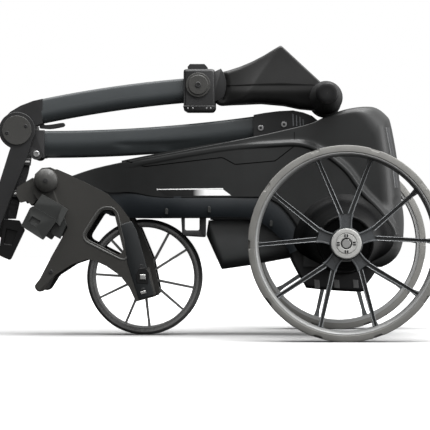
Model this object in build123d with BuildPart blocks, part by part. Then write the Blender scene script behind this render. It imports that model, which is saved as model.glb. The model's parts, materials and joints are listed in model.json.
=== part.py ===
from build123d import *
import os
from math import cos, hypot, radians, sin

# Folding electric golf trolley, folded, in millimetres.
# +X points to the rear, +Y to the right-hand side and +Z up from the ground.
# The origin is on the ground, under the middle of the folded length.
# Side outlines are (x, z) points with x measured from the rear axle.

# ---- driving dimensions -----------------------------------------------------------------
AXLE_X = 193.5            # rear axle, from the middle of the folded length
REAR_RADIUS = 133.0       # over the tread
REAR_TYRE_IN = 123.5      # where the tyre sits on the rim
REAR_RIM_IN = 119.0
REAR_INNER_Y = 245.0      # inner face of a rear tyre
REAR_OUTER_Y = 300.0      # outer face, so the trolley is 600 wide
FRONT_RADIUS = 84.0
FRONT_TYRE_IN = 76.0
FRONT_HALF_WIDTH = 19.0
FRONT_WHEEL = (-287.0, FRONT_RADIUS)
AXLE = (0.0, REAR_RADIUS)
AXLE_R = 6.0
RUNNING = 0.05            # radial clearance of a running fit
SIDE_GAP = 0.3            # gap between faces that slide past each other

SHAFT_PIVOT = (-60.0, 275.0)
MID_HINGE = (-470.3, 296.0)
FORK_PIVOT = (-425.6, 222.6)
TILT_PIVOT = (-208.7, 361.8)
GRIP_AXIS = (-24.5, 341.5)

SHELL_HALF = 98.0         # body shell below its ledge
SHELL_UPPER_HALF = 93.0   # body shell above its ledge
SHELL_WALL = 3.2
CHANNEL_HALF = 27.0       # slot in the shell's top that takes the folded shaft
RAIL_IN = 74.0            # frame rails beside the battery
RAIL_OUT = 87.0
NOSE_IN = 38.0            # frame rails beside the front wheel
NOSE_OUT = 52.0
FORK_IN = 58.0            # fork plates
FORK_OUT = 63.0
LEG_IN = 24.0             # inner legs of the fork, beside the front wheel
LEG_OUT = 34.0
HOUSING_HALF = 88.0
BATTERY_HALF = 73.5

GEAR_MODULE = 1.5
GEAR_TEETH = 36
PINION_TEETH = 12
GEAR_Y = 8.0
GEAR_WIDTH = 12.0
MOTOR_ANGLE = 120.0       # from the axle to the motor shaft, in the side view

os.makedirs("parts", exist_ok=True)


# ---- helpers ----------------------------------------------------------------------------
def side(y):
    """Sketch plane of the side view at y: local x is from the rear axle, local y is up."""
    return Plane(origin=(AXLE_X, y, 0), x_dir=(1, 0, 0), z_dir=(0, -1, 0))


def hand(sign, inner, outer):
    """Lower y and thickness of a slab between two distances from the centre plane."""
    return (inner if sign > 0 else -outer), outer - inner


def prism(points, y, width, mode=Mode.ADD, corner=0.0, inset=0.0):
    """A side outline from y towards +Y, with its corners rounded or its walls inset."""
    with BuildSketch(side(y)) as outline:
        with BuildLine():
            Polyline(*points, close=True)
        make_face()
        if corner:
            fillet(outline.vertices(), corner)
        if inset:
            offset(amount=-inset, kind=Kind.INTERSECTION)
    extrude(outline.sketch, amount=-width, mode=mode)


def disc(centre, radius, y, width, mode=Mode.ADD):
    """A cylinder along Y, from y towards +Y."""
    with BuildSketch(side(y)) as circle:
        with Locations(centre):
            Circle(radius)
    extrude(circle.sketch, amount=-width, mode=mode)


def lathe(profile, centre, mode=Mode.ADD):
    """A ring about an axis along Y from (y, radius) points."""
    plane = Plane(origin=(AXLE_X + centre[0], 0, centre[1]), x_dir=(0, 1, 0), z_dir=(1, 0, 0))
    with BuildSketch(plane) as section:
        with BuildLine():
            Polyline(*profile, close=True)
        make_face()
    spin = Axis((AXLE_X + centre[0], 0, centre[1]), (0, 1, 0))
    revolve(section.sketch, axis=spin, mode=mode)


def keep_plan(points, corner=0.0):
    """Keeps what stands inside a plan outline of (x from the axle, y) points."""
    with BuildSketch(Plane(origin=(AXLE_X, 0, -50))) as plan:
        with BuildLine():
            Polyline(*points, close=True)
        make_face()
        if corner:
            fillet(plan.vertices(), corner)
    extrude(plan.sketch, amount=600, mode=Mode.INTERSECT)


def save(node, name):
    """Labels a finished piece and writes it."""
    node.part.label = name
    export_step(node.part, f"parts/{name}.step")


def polar(centre, radius, angle):
    return (centre[0] + radius * cos(radians(angle)), centre[1] + radius * sin(radians(angle)))


def bar(start, end, start_width, end_width):
    """Corners of a straight bar that tapers from one width to another."""
    length = hypot(end[0] - start[0], end[1] - start[1])
    nx, nz = (start[1] - end[1]) / length / 2, (end[0] - start[0]) / length / 2
    return [
        (start[0] + nx * start_width, start[1] + nz * start_width),
        (end[0] + nx * end_width, end[1] + nz * end_width),
        (end[0] - nx * end_width, end[1] - nz * end_width),
        (start[0] - nx * start_width, start[1] - nz * start_width),
    ]


def mirrored(points):
    """A plan outline given for +Y, closed through its mirror image."""
    return points + [(x, -y) for x, y in reversed(points)]


def gear_outline(teeth, centre, turned):
    """Straight-flanked teeth with a little backlash."""
    pitch = GEAR_MODULE * teeth / 2
    tip, root = pitch + 0.85 * GEAR_MODULE, pitch - 1.2 * GEAR_MODULE
    step = 360 / teeth
    points = []
    for tooth in range(teeth):
        middle = turned + tooth * step
        for radius, part in ((root, -0.34), (tip, -0.11), (tip, 0.11), (root, 0.34)):
            points.append(polar(centre, radius, middle + part * step))
    return points


# ---- body shell and chassis -------------------------------------------------------------
SHELL_TOP = [
    (-392, 229.5), (-356, 241), (-303, 252), (-244, 262.5), (-130, 284), (-73.6, 296.5),
    (-45, 304), (-19.7, 316.3), (8.5, 325), (36, 328), (50, 325), (62, 315.5), (68, 304),
    (77, 255), (84, 195), (87.5, 167.5), (86, 137), (80, 119), (68, 105.5), (55, 99),
]
SHELL_BOTTOM = [
    (-58, 99), (-58, 140), (-82, 178), (-102, 194), (-120, 198), (-252.5, 198), (-302, 205.5),
    (-338, 206), (-369, 219),
]
LEDGE = [
    (-392, 227.5), (-356, 238), (-303, 249.5), (-210, 266), (-154, 273), (-97, 277), (-70, 278),
    (-51, 275), (-33, 267), (-18, 256.5), (4.5, 237.5), (25, 208), (45, 187), (59, 169), (69, 149),
    (76, 120), (68, 105.5), (55, 99),
]
SHELL_PLAN = mirrored([
    (-395, 45), (-330, 55.5), (-236, SHELL_HALF), (66, SHELL_HALF), (84, 90), (90, 76),
])
CHANNEL = [
    (-330, 400), (-330, 245), (-290, 254), (-200, 261), (-128, 268), (-100, 258), (-60, 258),
    (1, 262), (4, 280), (11, 299), (16, 316), (22, 332), (22, 400),
]
WELL_R = 55.0             # room for the shaft bracket to turn

with BuildPart() as shell_hollow:
    crown = [(x, z - SHELL_WALL) for x, z in SHELL_TOP[1:11]]
    back = [(x - SHELL_WALL, z - 2) for x, z in SHELL_TOP[11:-1]]
    opened_bottom = [(50, 80), (-75, 80), (-75, 138)] + [(x, z - 4) for x, z in SHELL_BOTTOM[2:-1]]
    prism(crown + back + opened_bottom, -SHELL_HALF, 2 * SHELL_HALF)
    keep_plan(mirrored([
        (-385, 41), (-330, 52), (-236, SHELL_UPPER_HALF - SHELL_WALL),
        (66, SHELL_UPPER_HALF - SHELL_WALL), (80, 84), (86, 72),
    ]))
    wall = CHANNEL_HALF + SHELL_WALL
    lowered = [(x + (SHELL_WALL if x > 0 else 0), z - SHELL_WALL) for x, z in CHANNEL]
    prism(lowered, -wall, 2 * wall, mode=Mode.SUBTRACT)
    disc(SHAFT_PIVOT, WELL_R + SHELL_WALL, -wall, 2 * wall, mode=Mode.SUBTRACT)

with BuildPart() as upper_shell:
    prism(SHELL_TOP + SHELL_BOTTOM, -SHELL_UPPER_HALF, 2 * SHELL_UPPER_HALF)
    prism(LEDGE + SHELL_BOTTOM, -SHELL_HALF, 2 * SHELL_HALF)
    keep_plan(SHELL_PLAN)
    add(shell_hollow.part, mode=Mode.SUBTRACT)
    prism(CHANNEL, -CHANNEL_HALF, 2 * CHANNEL_HALF, mode=Mode.SUBTRACT)
    disc(SHAFT_PIVOT, WELL_R, -CHANNEL_HALF, 2 * CHANNEL_HALF, mode=Mode.SUBTRACT)
    pin_half = SHELL_HALF - SHELL_WALL - 4
    disc(SHAFT_PIVOT, 7.5, -pin_half, 2 * pin_half, mode=Mode.SUBTRACT)
    disc(AXLE, 30, -SHELL_HALF, 2 * SHELL_HALF, mode=Mode.SUBTRACT)
save(upper_shell, "upper_shell")

with BuildPart() as rear_reflectors:
    for sign in (-1, 1):
        strip = [(61, 300), (65.5, 300), (76, 250), (71.5, 250)]
        prism(strip, *hand(sign, SHELL_UPPER_HALF, SHELL_UPPER_HALF + 1.5))
save(rear_reflectors, "rear_reflectors")

RAIL_SIDE = [
    (-416, 234.5), (-395, 227), (-369, 218.6), (-338, 205.6), (-302, 205.1), (-252, 200), (-118, 200),
    (-92, 240), (-73, 281), (-60, 289), (-47, 281), (-46.5, 262), (-62, 195), (-62, 128), (-78, 128),
    (-95, 146), (-120, 164), (-150, 170), (-300, 169.5), (-330, 172), (-380, 189), (-418, 209.5),
]
for sign, name in ((-1, "frame_rail_left"), (1, "frame_rail_right")):
    with BuildPart() as frame_rail:
        y, width = hand(sign, NOSE_IN, RAIL_OUT)
        prism(RAIL_SIDE, y, width)
        disc(FORK_PIVOT, 15, y, width)
        keep_plan([(x, sign * y) for x, y in (
            (-445, NOSE_IN), (-326, NOSE_IN), (-240, RAIL_IN), (-40, RAIL_IN),
            (-40, RAIL_OUT), (-236, RAIL_OUT), (-322, NOSE_OUT), (-445, NOSE_OUT),
        )])
        disc(FORK_PIVOT, 9, y, width, mode=Mode.SUBTRACT)
        disc(SHAFT_PIVOT, 7, y, width, mode=Mode.SUBTRACT)
    save(frame_rail, name)

with BuildPart() as front_pivot_tube:
    disc(FORK_PIVOT, 9, -NOSE_OUT - 5, 2 * (NOSE_OUT + 5))
    disc(FORK_PIVOT, 8, -FORK_OUT, 2 * FORK_OUT)
save(front_pivot_tube, "front_pivot_tube")

with BuildPart() as shaft_pivot_pin:
    disc(SHAFT_PIVOT, 7, -RAIL_OUT, 2 * RAIL_OUT)
save(shaft_pivot_pin, "shaft_pivot_pin")

with BuildPart() as deck_plate:
    prism([(-236, 186), (-64, 186), (-64, 190), (-236, 190)], -RAIL_IN, 2 * RAIL_IN)
    prism([(-190, 170), (-75, 170), (-75, 186), (-190, 186)], -RAIL_IN, 4)
    prism([(-190, 170), (-75, 170), (-75, 186), (-190, 186)], RAIL_IN - 4, 4)
    prism([(-190, 166.5), (-75, 166.5), (-75, 170), (-190, 170)], -RAIL_IN, 2 * RAIL_IN)
save(deck_plate, "deck_plate")

BATTERY_SIDE = [(-192.5, 166), (-196, 145), (-174, 95), (-133, 101.4), (-76, 112), (-76, 166)]
with BuildPart() as battery_pack:
    prism(BATTERY_SIDE, -BATTERY_HALF, 2 * BATTERY_HALF)
    lengthwise = battery_pack.edges().filter_by(GeomType.LINE).filter_by(
        lambda e: abs(abs(e.center().Y) - BATTERY_HALF) < 0.1 and e.center().Z < 130)
    fillet(lengthwise, 14)
save(battery_pack, "battery_pack")

with BuildPart() as controller:
    prism([(-226, 190), (-140, 190), (-140, 226), (-226, 226)], -36, 72, corner=4)
save(controller, "controller")

HOUSING_SIDE = [
    (-60, 200), (-60, 127.5), (-75.5, 127.5), (-75.5, 111), (-55.5, 74), (-46, 68.6), (25, 64),
    (31, 72), (44, 90), (52, 110), (52, 200),
]
VENT_STARTS = (-41, -13, 14)
with BuildPart() as drive_housing:
    prism(HOUSING_SIDE, -HOUSING_HALF, 2 * HOUSING_HALF, corner=4)
    prism(HOUSING_SIDE, -HOUSING_HALF + 3, 2 * HOUSING_HALF - 6, mode=Mode.SUBTRACT, inset=3)
    disc(AXLE, 12, -HOUSING_HALF, 2 * HOUSING_HALF, mode=Mode.SUBTRACT)
    for start in VENT_STARTS:
        vent = [(start, 69.5), (start + 8, 69), (start + 7, 81), (start - 1, 81.5)]
        prism(vent, -HOUSING_HALF, 3, mode=Mode.SUBTRACT)
        prism(vent, HOUSING_HALF - 3, 3, mode=Mode.SUBTRACT)
save(drive_housing, "drive_housing")

with BuildPart() as axle_cones:
    for sign in (-1, 1):
        outside = [(98, 66), (112, 64), (150, 54), (190, 44), (220, 39), (226, 35)]
        inside = [(226, 14), (212, 14), (212, 34), (190, 40), (150, 50), (112, 60), (98, 62)]
        lathe([(sign * y, r) for y, r in outside + inside], AXLE)
save(axle_cones, "axle_cones")

with BuildPart() as axle_bearings:
    for sign in (-1, 1):
        y, width = hand(sign, 212, 224)
        disc(AXLE, 14, y, width)
    disc(AXLE, AXLE_R + RUNNING, -230, 460, mode=Mode.SUBTRACT)
save(axle_bearings, "axle_bearings")

# Motor beside the gear pair, with its shaft pointing to the gears.
GEAR_CENTRES = GEAR_MODULE * (GEAR_TEETH + PINION_TEETH) / 2 + 0.1
MOTOR_AXIS = polar(AXLE, GEAR_CENTRES, MOTOR_ANGLE)
MOTOR_R = 27.0
with BuildPart() as motor:
    disc(MOTOR_AXIS, MOTOR_R, GEAR_Y + GEAR_WIDTH + 4, 58)
    disc(MOTOR_AXIS, 10, GEAR_Y + GEAR_WIDTH + 1, 3)
    disc(MOTOR_AXIS, 3 + RUNNING, GEAR_Y + GEAR_WIDTH, 20, mode=Mode.SUBTRACT)
save(motor, "motor")

with BuildPart() as motor_pinion:
    # A tooth of the pinion faces a gap of the gear along the line of centres.
    turned = MOTOR_ANGLE + 180
    prism(gear_outline(PINION_TEETH, MOTOR_AXIS, turned), GEAR_Y, GEAR_WIDTH)
    disc(MOTOR_AXIS, 3, GEAR_Y, GEAR_WIDTH + 18)
save(motor_pinion, "motor_pinion")

with BuildPart() as loop_bracket:
    loop_y = -RAIL_OUT
    prism([(-228, 169.5), (-228, 139), (-197.5, 136), (-197.5, 169.5)], loop_y, 12, corner=3)
    prism([(-223, 164), (-223, 143), (-202, 141), (-202, 164)], loop_y, 12, mode=Mode.SUBTRACT, corner=2)
    prism([(-215, 140), (-203, 139), (-203, 133), (-213, 134)], loop_y + 2, 8)
save(loop_bracket, "loop_bracket")

for sign, name in ((-1, "wheel_release_left"), (1, "wheel_release_right")):
    with BuildPart() as wheel_release:
        y, width = hand(sign, 226.3, 233)
        prism([(-8, 108), (8, 108), (6, 114.5), (-6, 114.5)], y, width, corner=1)
    save(wheel_release, name)

# ---- drive axle and rear wheels ---------------------------------------------------------
with BuildPart() as drive_axle:
    disc(AXLE, AXLE_R, -294, 588)
save(drive_axle, "drive_axle")

with BuildPart() as axle_gear:
    # The line of centres meets the middle of a gap.
    turned = MOTOR_ANGLE + 180 / GEAR_TEETH
    prism(gear_outline(GEAR_TEETH, AXLE, turned), GEAR_Y, GEAR_WIDTH)
    disc(AXLE, 12, GEAR_Y - 4, GEAR_WIDTH + 6)
    disc(AXLE, AXLE_R, GEAR_Y - 5, GEAR_WIDTH + 8, mode=Mode.SUBTRACT)
save(axle_gear, "axle_gear")

ARM_ANGLES = [19.2 + 72 * arm for arm in range(5)]
NOTCH_COUNT = 10
NOTCH_LONG, NOTCH_DEEP, NOTCH_WIDE = 11.0, 2.2, 9.0
SPOKE_IN, SPOKE_OUT, SPOKE_GROOVE = 266.0, 284.0, 4.0
REAR_HUB_R, REAR_HUB_IN, REAR_HUB_OUT = 20.0, 240.0, 293.0
with BuildPart() as rear_tyres:
    for sign in (-1, 1):
        y, width = hand(sign, REAR_INNER_Y, REAR_OUTER_Y)
        lathe([
            (y, REAR_TYRE_IN), (y, REAR_RADIUS - 1.5), (y + 1.5, REAR_RADIUS),
            (y + width - 1.5, REAR_RADIUS), (y + width, REAR_RADIUS - 1.5), (y + width, REAR_TYRE_IN),
        ], AXLE)
        for start in (y, y + width - NOTCH_WIDE):
            with BuildSketch(side(start)) as notches:
                with Locations(AXLE):
                    with PolarLocations(REAR_RADIUS, NOTCH_COUNT):
                        Rectangle(2 * NOTCH_DEEP, NOTCH_LONG)
            extrude(notches.sketch, amount=-NOTCH_WIDE, mode=Mode.SUBTRACT)
save(rear_tyres, "rear_tyres")

with BuildPart() as rear_rims:
    for sign in (-1, 1):
        y, width = hand(sign, REAR_INNER_Y + 2, REAR_OUTER_Y - 2)
        lathe([
            (y, REAR_RIM_IN), (y, REAR_TYRE_IN),
            (y + width, REAR_TYRE_IN), (y + width, REAR_RIM_IN),
        ], AXLE)
save(rear_rims, "rear_rims")

with BuildPart() as rear_spokes:
    for sign in (-1, 1):
        spoke_y, spoke_deep = hand(sign, SPOKE_IN, SPOKE_OUT)
        with BuildSketch(side(spoke_y)) as star:
            for angle in ARM_ANGLES:
                with BuildLine():
                    Polyline(*bar(polar(AXLE, 12, angle), polar(AXLE, 42, angle), 15, 17), close=True)
                make_face()
                for turn in (-1, 1):
                    inner = polar(AXLE, 38, angle + 8 * turn)
                    outer = polar(AXLE, REAR_RIM_IN + 1, angle + 17.7 * turn)
                    with BuildLine():
                        Polyline(*bar(inner, outer, 6.4, 5.2), close=True)
                    make_face()
            with Locations(AXLE):
                Circle(REAR_RIM_IN, mode=Mode.INTERSECT)
        extrude(star.sketch, amount=-spoke_deep)
        groove_y = spoke_y + (spoke_deep - SPOKE_GROOVE if sign > 0 else 0)
        for angle in ARM_ANGLES:
            for turn in (-1, 1):
                inner = polar(AXLE, 48, angle + 10.5 * turn)
                outer = polar(AXLE, 115, angle + 17.5 * turn)
                prism(bar(inner, outer, 2.8, 2.4), groove_y, SPOKE_GROOVE, mode=Mode.SUBTRACT)
        disc(AXLE, REAR_HUB_R, *hand(sign, REAR_HUB_IN, REAR_HUB_OUT))
    for sign in (-1, 1):
        disc(AXLE, 7.4, *hand(sign, REAR_HUB_OUT - 5, REAR_HUB_OUT), mode=Mode.SUBTRACT)
    disc(AXLE, AXLE_R, -REAR_HUB_OUT, 2 * REAR_HUB_OUT, mode=Mode.SUBTRACT)
save(rear_spokes, "rear_spokes")

with BuildPart() as hub_caps:
    for sign in (-1, 1):
        y, width = hand(sign, 293, 295)
        disc(AXLE, 14, y, width)
    disc(AXLE, 7.4, -300, 600, mode=Mode.SUBTRACT)
save(hub_caps, "hub_caps")

# ---- front fork and wheel ---------------------------------------------------------------
FORK_SIDE = [
    (-442, 232), (-432, 241), (-420, 242), (-399.5, 233), (-369, 220), (-338, 204), (-320.5, 187),
    (-307, 170), (-299, 152), (-291, 126), (-283, 95), (-268, 57), (-297, 49), (-306, 69),
    (-319, 86), (-339, 100), (-354, 107), (-367, 110), (-389, 102.5), (-413, 87), (-436, 64.5),
    (-441, 70), (-418, 114), (-395, 155), (-404, 176), (-436, 193), (-444, 205),
]
FORK_WINDOW = [(-372, 141), (-346.5, 181), (-328.5, 181), (-311, 110)]
FORK_LEG = [
    (-318, 170), (-304, 172), (-291.9, 154.9), (-273.4, 110.4), (-263.4, 61), (-285, 56), (-296, 56),
    (-300, 98),
]
for sign, name in ((-1, "fork_plate_left"), (1, "fork_plate_right")):
    with BuildPart() as fork_plate:
        y, width = hand(sign, FORK_IN, FORK_OUT)
        prism(FORK_SIDE, y, width)
        prism(FORK_WINDOW, y, width, mode=Mode.SUBTRACT, corner=8)
        disc(FORK_PIVOT, 8 + RUNNING, y, width, mode=Mode.SUBTRACT)
        leg_y, leg = hand(sign, LEG_IN, LEG_OUT)
        prism(FORK_LEG, leg_y, leg)
        block_y, block = hand(sign, LEG_OUT, FORK_IN)
        prism([(-300, 98), (-278, 98), (-269, 60), (-296, 56)], block_y, block)
        disc(FRONT_WHEEL, 5, leg_y, leg, mode=Mode.SUBTRACT)
        disc(FRONT_WHEEL, 5, block_y, block, mode=Mode.SUBTRACT)
    save(fork_plate, name)

with BuildPart() as toe_plate:
    prism([(-436, 68), (-431, 66), (-391, 150), (-396, 152)], -FORK_IN, 2 * FORK_IN)
save(toe_plate, "toe_plate")

LIP_SIDE = [(-454, 222), (-446, 227), (-446, 206), (-438, 198), (-447, 187), (-456, 196)]
LIP_WING = [(-467.8, 213.6), (-446, 227), (-441, 211), (-438, 198), (-463.2, 191.3), (-469.4, 202.6)]
LIP_WING_IN = 46.0
with BuildPart() as cradle_lip:
    prism(LIP_SIDE, -FORK_IN, 2 * FORK_IN)
    for sign in (-1, 1):
        prism(LIP_WING, *hand(sign, LIP_WING_IN, FORK_IN))
save(cradle_lip, "cradle_lip")

with BuildPart() as front_axle:
    disc(FRONT_WHEEL, 5, -FORK_IN, 2 * FORK_IN)
save(front_axle, "front_axle")

with BuildPart() as fork_pivot_caps:
    for sign in (-1, 1):
        dome = [(0.3, 0), (0.3, 17), (6, 17.5), (9, 15.5), (12, 9), (13, 0)]
        lathe([(sign * (FORK_OUT + out), r) for out, r in dome], FORK_PIVOT)
save(fork_pivot_caps, "fork_pivot_caps")

# Strap clips on the lower bag base: a base on each fork plate and a lever hinged along its top.
CLIP_BASE = [(-431, 199), (-402, 182), (-396, 160), (-405, 139), (-418, 146), (-422, 162), (-438, 184)]
CLIP_PANEL = [(-430.5, 203.4), (-400.5, 186.3), (-410.5, 164.8), (-443.4, 184.8)]
CLIP_BOX = [(-447.7, 183.4), (-443.4, 186), (-409, 166), (-410.5, 163.4), (-429.1, 137.7), (-460.5, 157.7)]
CLIP_SLOT = [(-445, 172), (-432, 165), (-438, 156), (-450, 163)]
CLIP_HOOK = [(-401.2, 186.3), (-393.4, 181), (-404.8, 157.7), (-410.5, 163.4)]
with BuildPart() as clip_bases:
    for sign in (-1, 1):
        prism(CLIP_BASE, *hand(sign, FORK_OUT, FORK_OUT + 6))
save(clip_bases, "clip_bases")
for sign, name in ((-1, "clip_lever_left"), (1, "clip_lever_right")):
    with BuildPart() as clip_lever:
        prism(CLIP_PANEL, *hand(sign, FORK_OUT + 6.3, FORK_OUT + 11))
        prism(CLIP_HOOK, *hand(sign, FORK_OUT + 6.3, FORK_OUT + 14))
        prism(CLIP_BOX, *hand(sign, FORK_OUT + 6.3, FORK_OUT + 15), corner=1.5)
        slot_y, slot = hand(sign, FORK_OUT + 12, FORK_OUT + 15)
        prism(CLIP_SLOT, slot_y, slot, mode=Mode.SUBTRACT)
    save(clip_lever, name)

with BuildPart() as front_tyre:
    half = FRONT_HALF_WIDTH
    lathe([
        (-half, FRONT_TYRE_IN), (-half, FRONT_RADIUS - 6), (-half + 3, FRONT_RADIUS - 1.5),
        (-half + 8, FRONT_RADIUS), (half - 8, FRONT_RADIUS), (half - 3, FRONT_RADIUS - 1.5),
        (half, FRONT_RADIUS - 6), (half, FRONT_TYRE_IN),
    ], FRONT_WHEEL)
save(front_tyre, "front_tyre")

PAIR_ANGLES = (47, 118, 190.9, 261.7, 333.8)
FRONT_RIM_IN, FRONT_RIM_HALF, FRONT_HUB_R, BEARING_R = 72.5, 18.0, 17.0, 9.0
with BuildPart() as front_rim:
    lathe([
        (-FRONT_RIM_HALF, FRONT_RIM_IN), (-FRONT_RIM_HALF, FRONT_TYRE_IN),
        (FRONT_RIM_HALF, FRONT_TYRE_IN), (FRONT_RIM_HALF, FRONT_RIM_IN),
    ], FRONT_WHEEL)
save(front_rim, "front_rim")

with BuildPart() as front_spokes:
    with BuildSketch(side(-15)) as spoke_star:
        for angle in PAIR_ANGLES:
            for turn in (-1, 1):
                inner = polar(FRONT_WHEEL, 12, angle + 10 * turn)
                outer = polar(FRONT_WHEEL, FRONT_RIM_IN + 1, angle + 14 * turn)
                with BuildLine():
                    Polyline(*bar(inner, outer, 3.6, 3.2), close=True)
                make_face()
        with Locations(FRONT_WHEEL):
            Circle(FRONT_RIM_IN, mode=Mode.INTERSECT)
    extrude(spoke_star.sketch, amount=-12)
    disc(FRONT_WHEEL, FRONT_HUB_R, -FRONT_RIM_HALF, 2 * FRONT_RIM_HALF)
    disc(FRONT_WHEEL, BEARING_R, -FRONT_RIM_HALF, 2 * FRONT_RIM_HALF, mode=Mode.SUBTRACT)
save(front_spokes, "front_spokes")

with BuildPart() as front_bearings:
    for start in (-FRONT_RIM_HALF, FRONT_RIM_HALF - 8):
        disc(FRONT_WHEEL, BEARING_R, start, 8)
    disc(FRONT_WHEEL, 5 + RUNNING, -FRONT_RIM_HALF, 2 * FRONT_RIM_HALF, mode=Mode.SUBTRACT)
save(front_bearings, "front_bearings")

# ---- lower shaft ------------------------------------------------------------------------
def shaft_tube(points, depth, half_top, half_crease, half_bottom):
    """A six-sided tube along an arc through three points of the side view."""
    with BuildLine(side(0)) as path:
        ThreePointArc(*points)
    arc = path.edges()[0]
    plane = Plane(origin=arc.position_at(0), x_dir=(0, 1, 0), z_dir=arc.tangent_at(0))
    up = 1 if plane.y_dir.Z > 0 else -1
    crease = -0.1 * depth
    outline = [
        (-half_top, depth / 2), (half_top, depth / 2), (half_crease, crease),
        (half_bottom, -depth / 2), (-half_bottom, -depth / 2), (-half_crease, crease),
    ]
    with BuildSketch(plane) as section:
        with BuildLine():
            Polyline(*[(a, up * b) for a, b in outline], close=True)
        make_face()
        fillet(section.vertices(), 4)
    sweep(section.sketch, path=arc)


LOWER_ARC = ((-431.5, 276.5), (-283, 281.5), (-112, 299.5))
with BuildPart() as lower_tube:
    shaft_tube(LOWER_ARC, 39, 13, 20, 12)
save(lower_tube, "lower_tube")

BRACKET_SIDE = [
    (-128.7, 318.5), (-112, 321.5), (-92, 324), (-71.7, 325), (-57, 322), (-44, 317), (-36.3, 310.5),
    (-40, 296), (-47, 283), (-46, 275), (-50, 265), (-60, 261), (-74, 264), (-90, 272), (-128.7, 272.5),
]
with BuildPart() as shaft_bracket:
    prism(BRACKET_SIDE, -24, 48)
    add(lower_tube.part, mode=Mode.SUBTRACT)
    disc(SHAFT_PIVOT, 7 + RUNNING, -24, 48, mode=Mode.SUBTRACT)
save(shaft_bracket, "shaft_bracket")

EAR_IN, EAR_OUT = 18.0, 29.0
CLEVIS_SIDE = [(-470, 320), (-447, 296.5), (-431.5, 296.5), (-431.5, 257), (-452, 257), (-488, 280)]
with BuildPart() as mid_clevis:
    for sign in (-1, 1):
        y, width = hand(sign, EAR_IN, EAR_OUT)
        disc(MID_HINGE, 24, y, width)
        prism(CLEVIS_SIDE, y, width)
        y, width = hand(sign, EAR_OUT, EAR_OUT + 4.5)
        disc((-442.5, 262), 8.5, y, width)
    prism([(-440, 296), (-431.5, 296), (-431.5, 257), (-440, 257)], -EAR_IN, 2 * EAR_IN)
    add(lower_tube.part, mode=Mode.SUBTRACT)
    disc(MID_HINGE, 33, -EAR_IN, 2 * EAR_IN, mode=Mode.SUBTRACT)
    disc(MID_HINGE, 6, -EAR_OUT, 2 * EAR_OUT, mode=Mode.SUBTRACT)
save(mid_clevis, "mid_clevis")

ARM_IN, ARM_OUT = 31.0, 38.0
BAG_ARM_SIDE = [
    (-482, 264), (-494, 225.5), (-519, 152), (-520, 143), (-512, 138), (-500, 142), (-484.6, 183.2),
    (-454.5, 260), (-447, 285), (-470, 300),
]
with BuildPart() as bag_arms:
    for sign in (-1, 1):
        prism(BAG_ARM_SIDE, *hand(sign, ARM_IN, ARM_OUT))
        disc(MID_HINGE, 26.3, *hand(sign, ARM_IN, ARM_OUT))
        disc(MID_HINGE, 12, *hand(sign, EAR_OUT, ARM_IN))
        disc(MID_HINGE, 6, *hand(sign, EAR_OUT, ARM_OUT), mode=Mode.SUBTRACT)
    prism([(-516, 156), (-508, 158), (-504, 146), (-512, 142)], -ARM_IN, 2 * ARM_IN)
save(bag_arms, "bag_arms")

with BuildPart() as mid_hinge_pin:
    disc(MID_HINGE, 6, -ARM_OUT, 2 * ARM_OUT)
save(mid_hinge_pin, "mid_hinge_pin")

with BuildPart() as mid_hinge_caps:
    for sign in (-1, 1):
        disc(MID_HINGE, 21.2, *hand(sign, ARM_OUT, ARM_OUT + 3))
save(mid_hinge_caps, "mid_hinge_caps")

STRAP_Y, STRAP_THICK = -30.8, 1.5
STRAP_SIDE = [
    (-466, 268), (-454, 257), (-456, 236), (-465, 200), (-472, 168), (-484, 168), (-477, 200),
    (-466, 238),
]
with BuildPart() as bag_strap:
    prism(STRAP_SIDE, STRAP_Y, STRAP_THICK)
save(bag_strap, "bag_strap")

with BuildPart() as strap_buckle:
    prism([(-490, 168), (-468, 166), (-460, 152), (-481, 108), (-498, 116)], -31, 14, corner=2.5)
    prism([(-486, 154), (-470, 150), (-478, 130), (-490, 132)], -31, 5, mode=Mode.SUBTRACT, corner=1)
save(strap_buckle, "strap_buckle")

# ---- upper shaft ------------------------------------------------------------------------
UPPER_ARC = ((-437, 324.5), (-335, 342.5), (-229.4, 354.5))
with BuildPart() as upper_tube:
    shaft_tube(UPPER_ARC, 35, 12.5, 19, 11.5)
save(upper_tube, "upper_tube")

with BuildPart() as upper_hinge:
    disc(MID_HINGE, 27, -EAR_IN + SIDE_GAP, 2 * (EAR_IN - SIDE_GAP))
    prism([
        (-435, 342.5), (-448.6, 339.5), (-467, 332.5), (-482, 323.6), (-493, 312), (-480, 290),
        (-447, 290), (-446, 303), (-435, 307),
    ], -EAR_IN + SIDE_GAP, 2 * (EAR_IN - SIDE_GAP))
    add(upper_tube.part, mode=Mode.SUBTRACT)
    disc(MID_HINGE, 6 + RUNNING, -EAR_IN, 2 * EAR_IN, mode=Mode.SUBTRACT)
    prism([(-441, 314), (-434, 314), (-434, 296), (-441, 296)], -8.3, 16.6, mode=Mode.SUBTRACT)
save(upper_hinge, "upper_hinge")

with BuildPart() as fold_latch:
    prism([
        (-440.5, 305.5), (-438, 306.5), (-431, 304.8), (-422, 305.6), (-410, 307.6), (-405, 308),
        (-403.5, 305), (-405.5, 302.5), (-412, 301), (-420, 299.6), (-426, 299), (-440, 300),
    ], -8, 16)
save(fold_latch, "fold_latch")

COLLAR_HALF = 26.0
with BuildPart() as collar:
    prism([
        (-229.4, 383.5), (-189, 383.5), (-184.5, 379), (-184.5, 330), (-188, 325.6), (-229.4, 325.6),
    ], -COLLAR_HALF, 2 * COLLAR_HALF)
    prism([(-224, 400), (-224, 342), (-180, 342), (-180, 400)], -17.2, 34.4, mode=Mode.SUBTRACT)
    add(upper_tube.part, mode=Mode.SUBTRACT)
    disc(TILT_PIVOT, 5, -COLLAR_HALF, 2 * COLLAR_HALF, mode=Mode.SUBTRACT)
save(collar, "collar")

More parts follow.
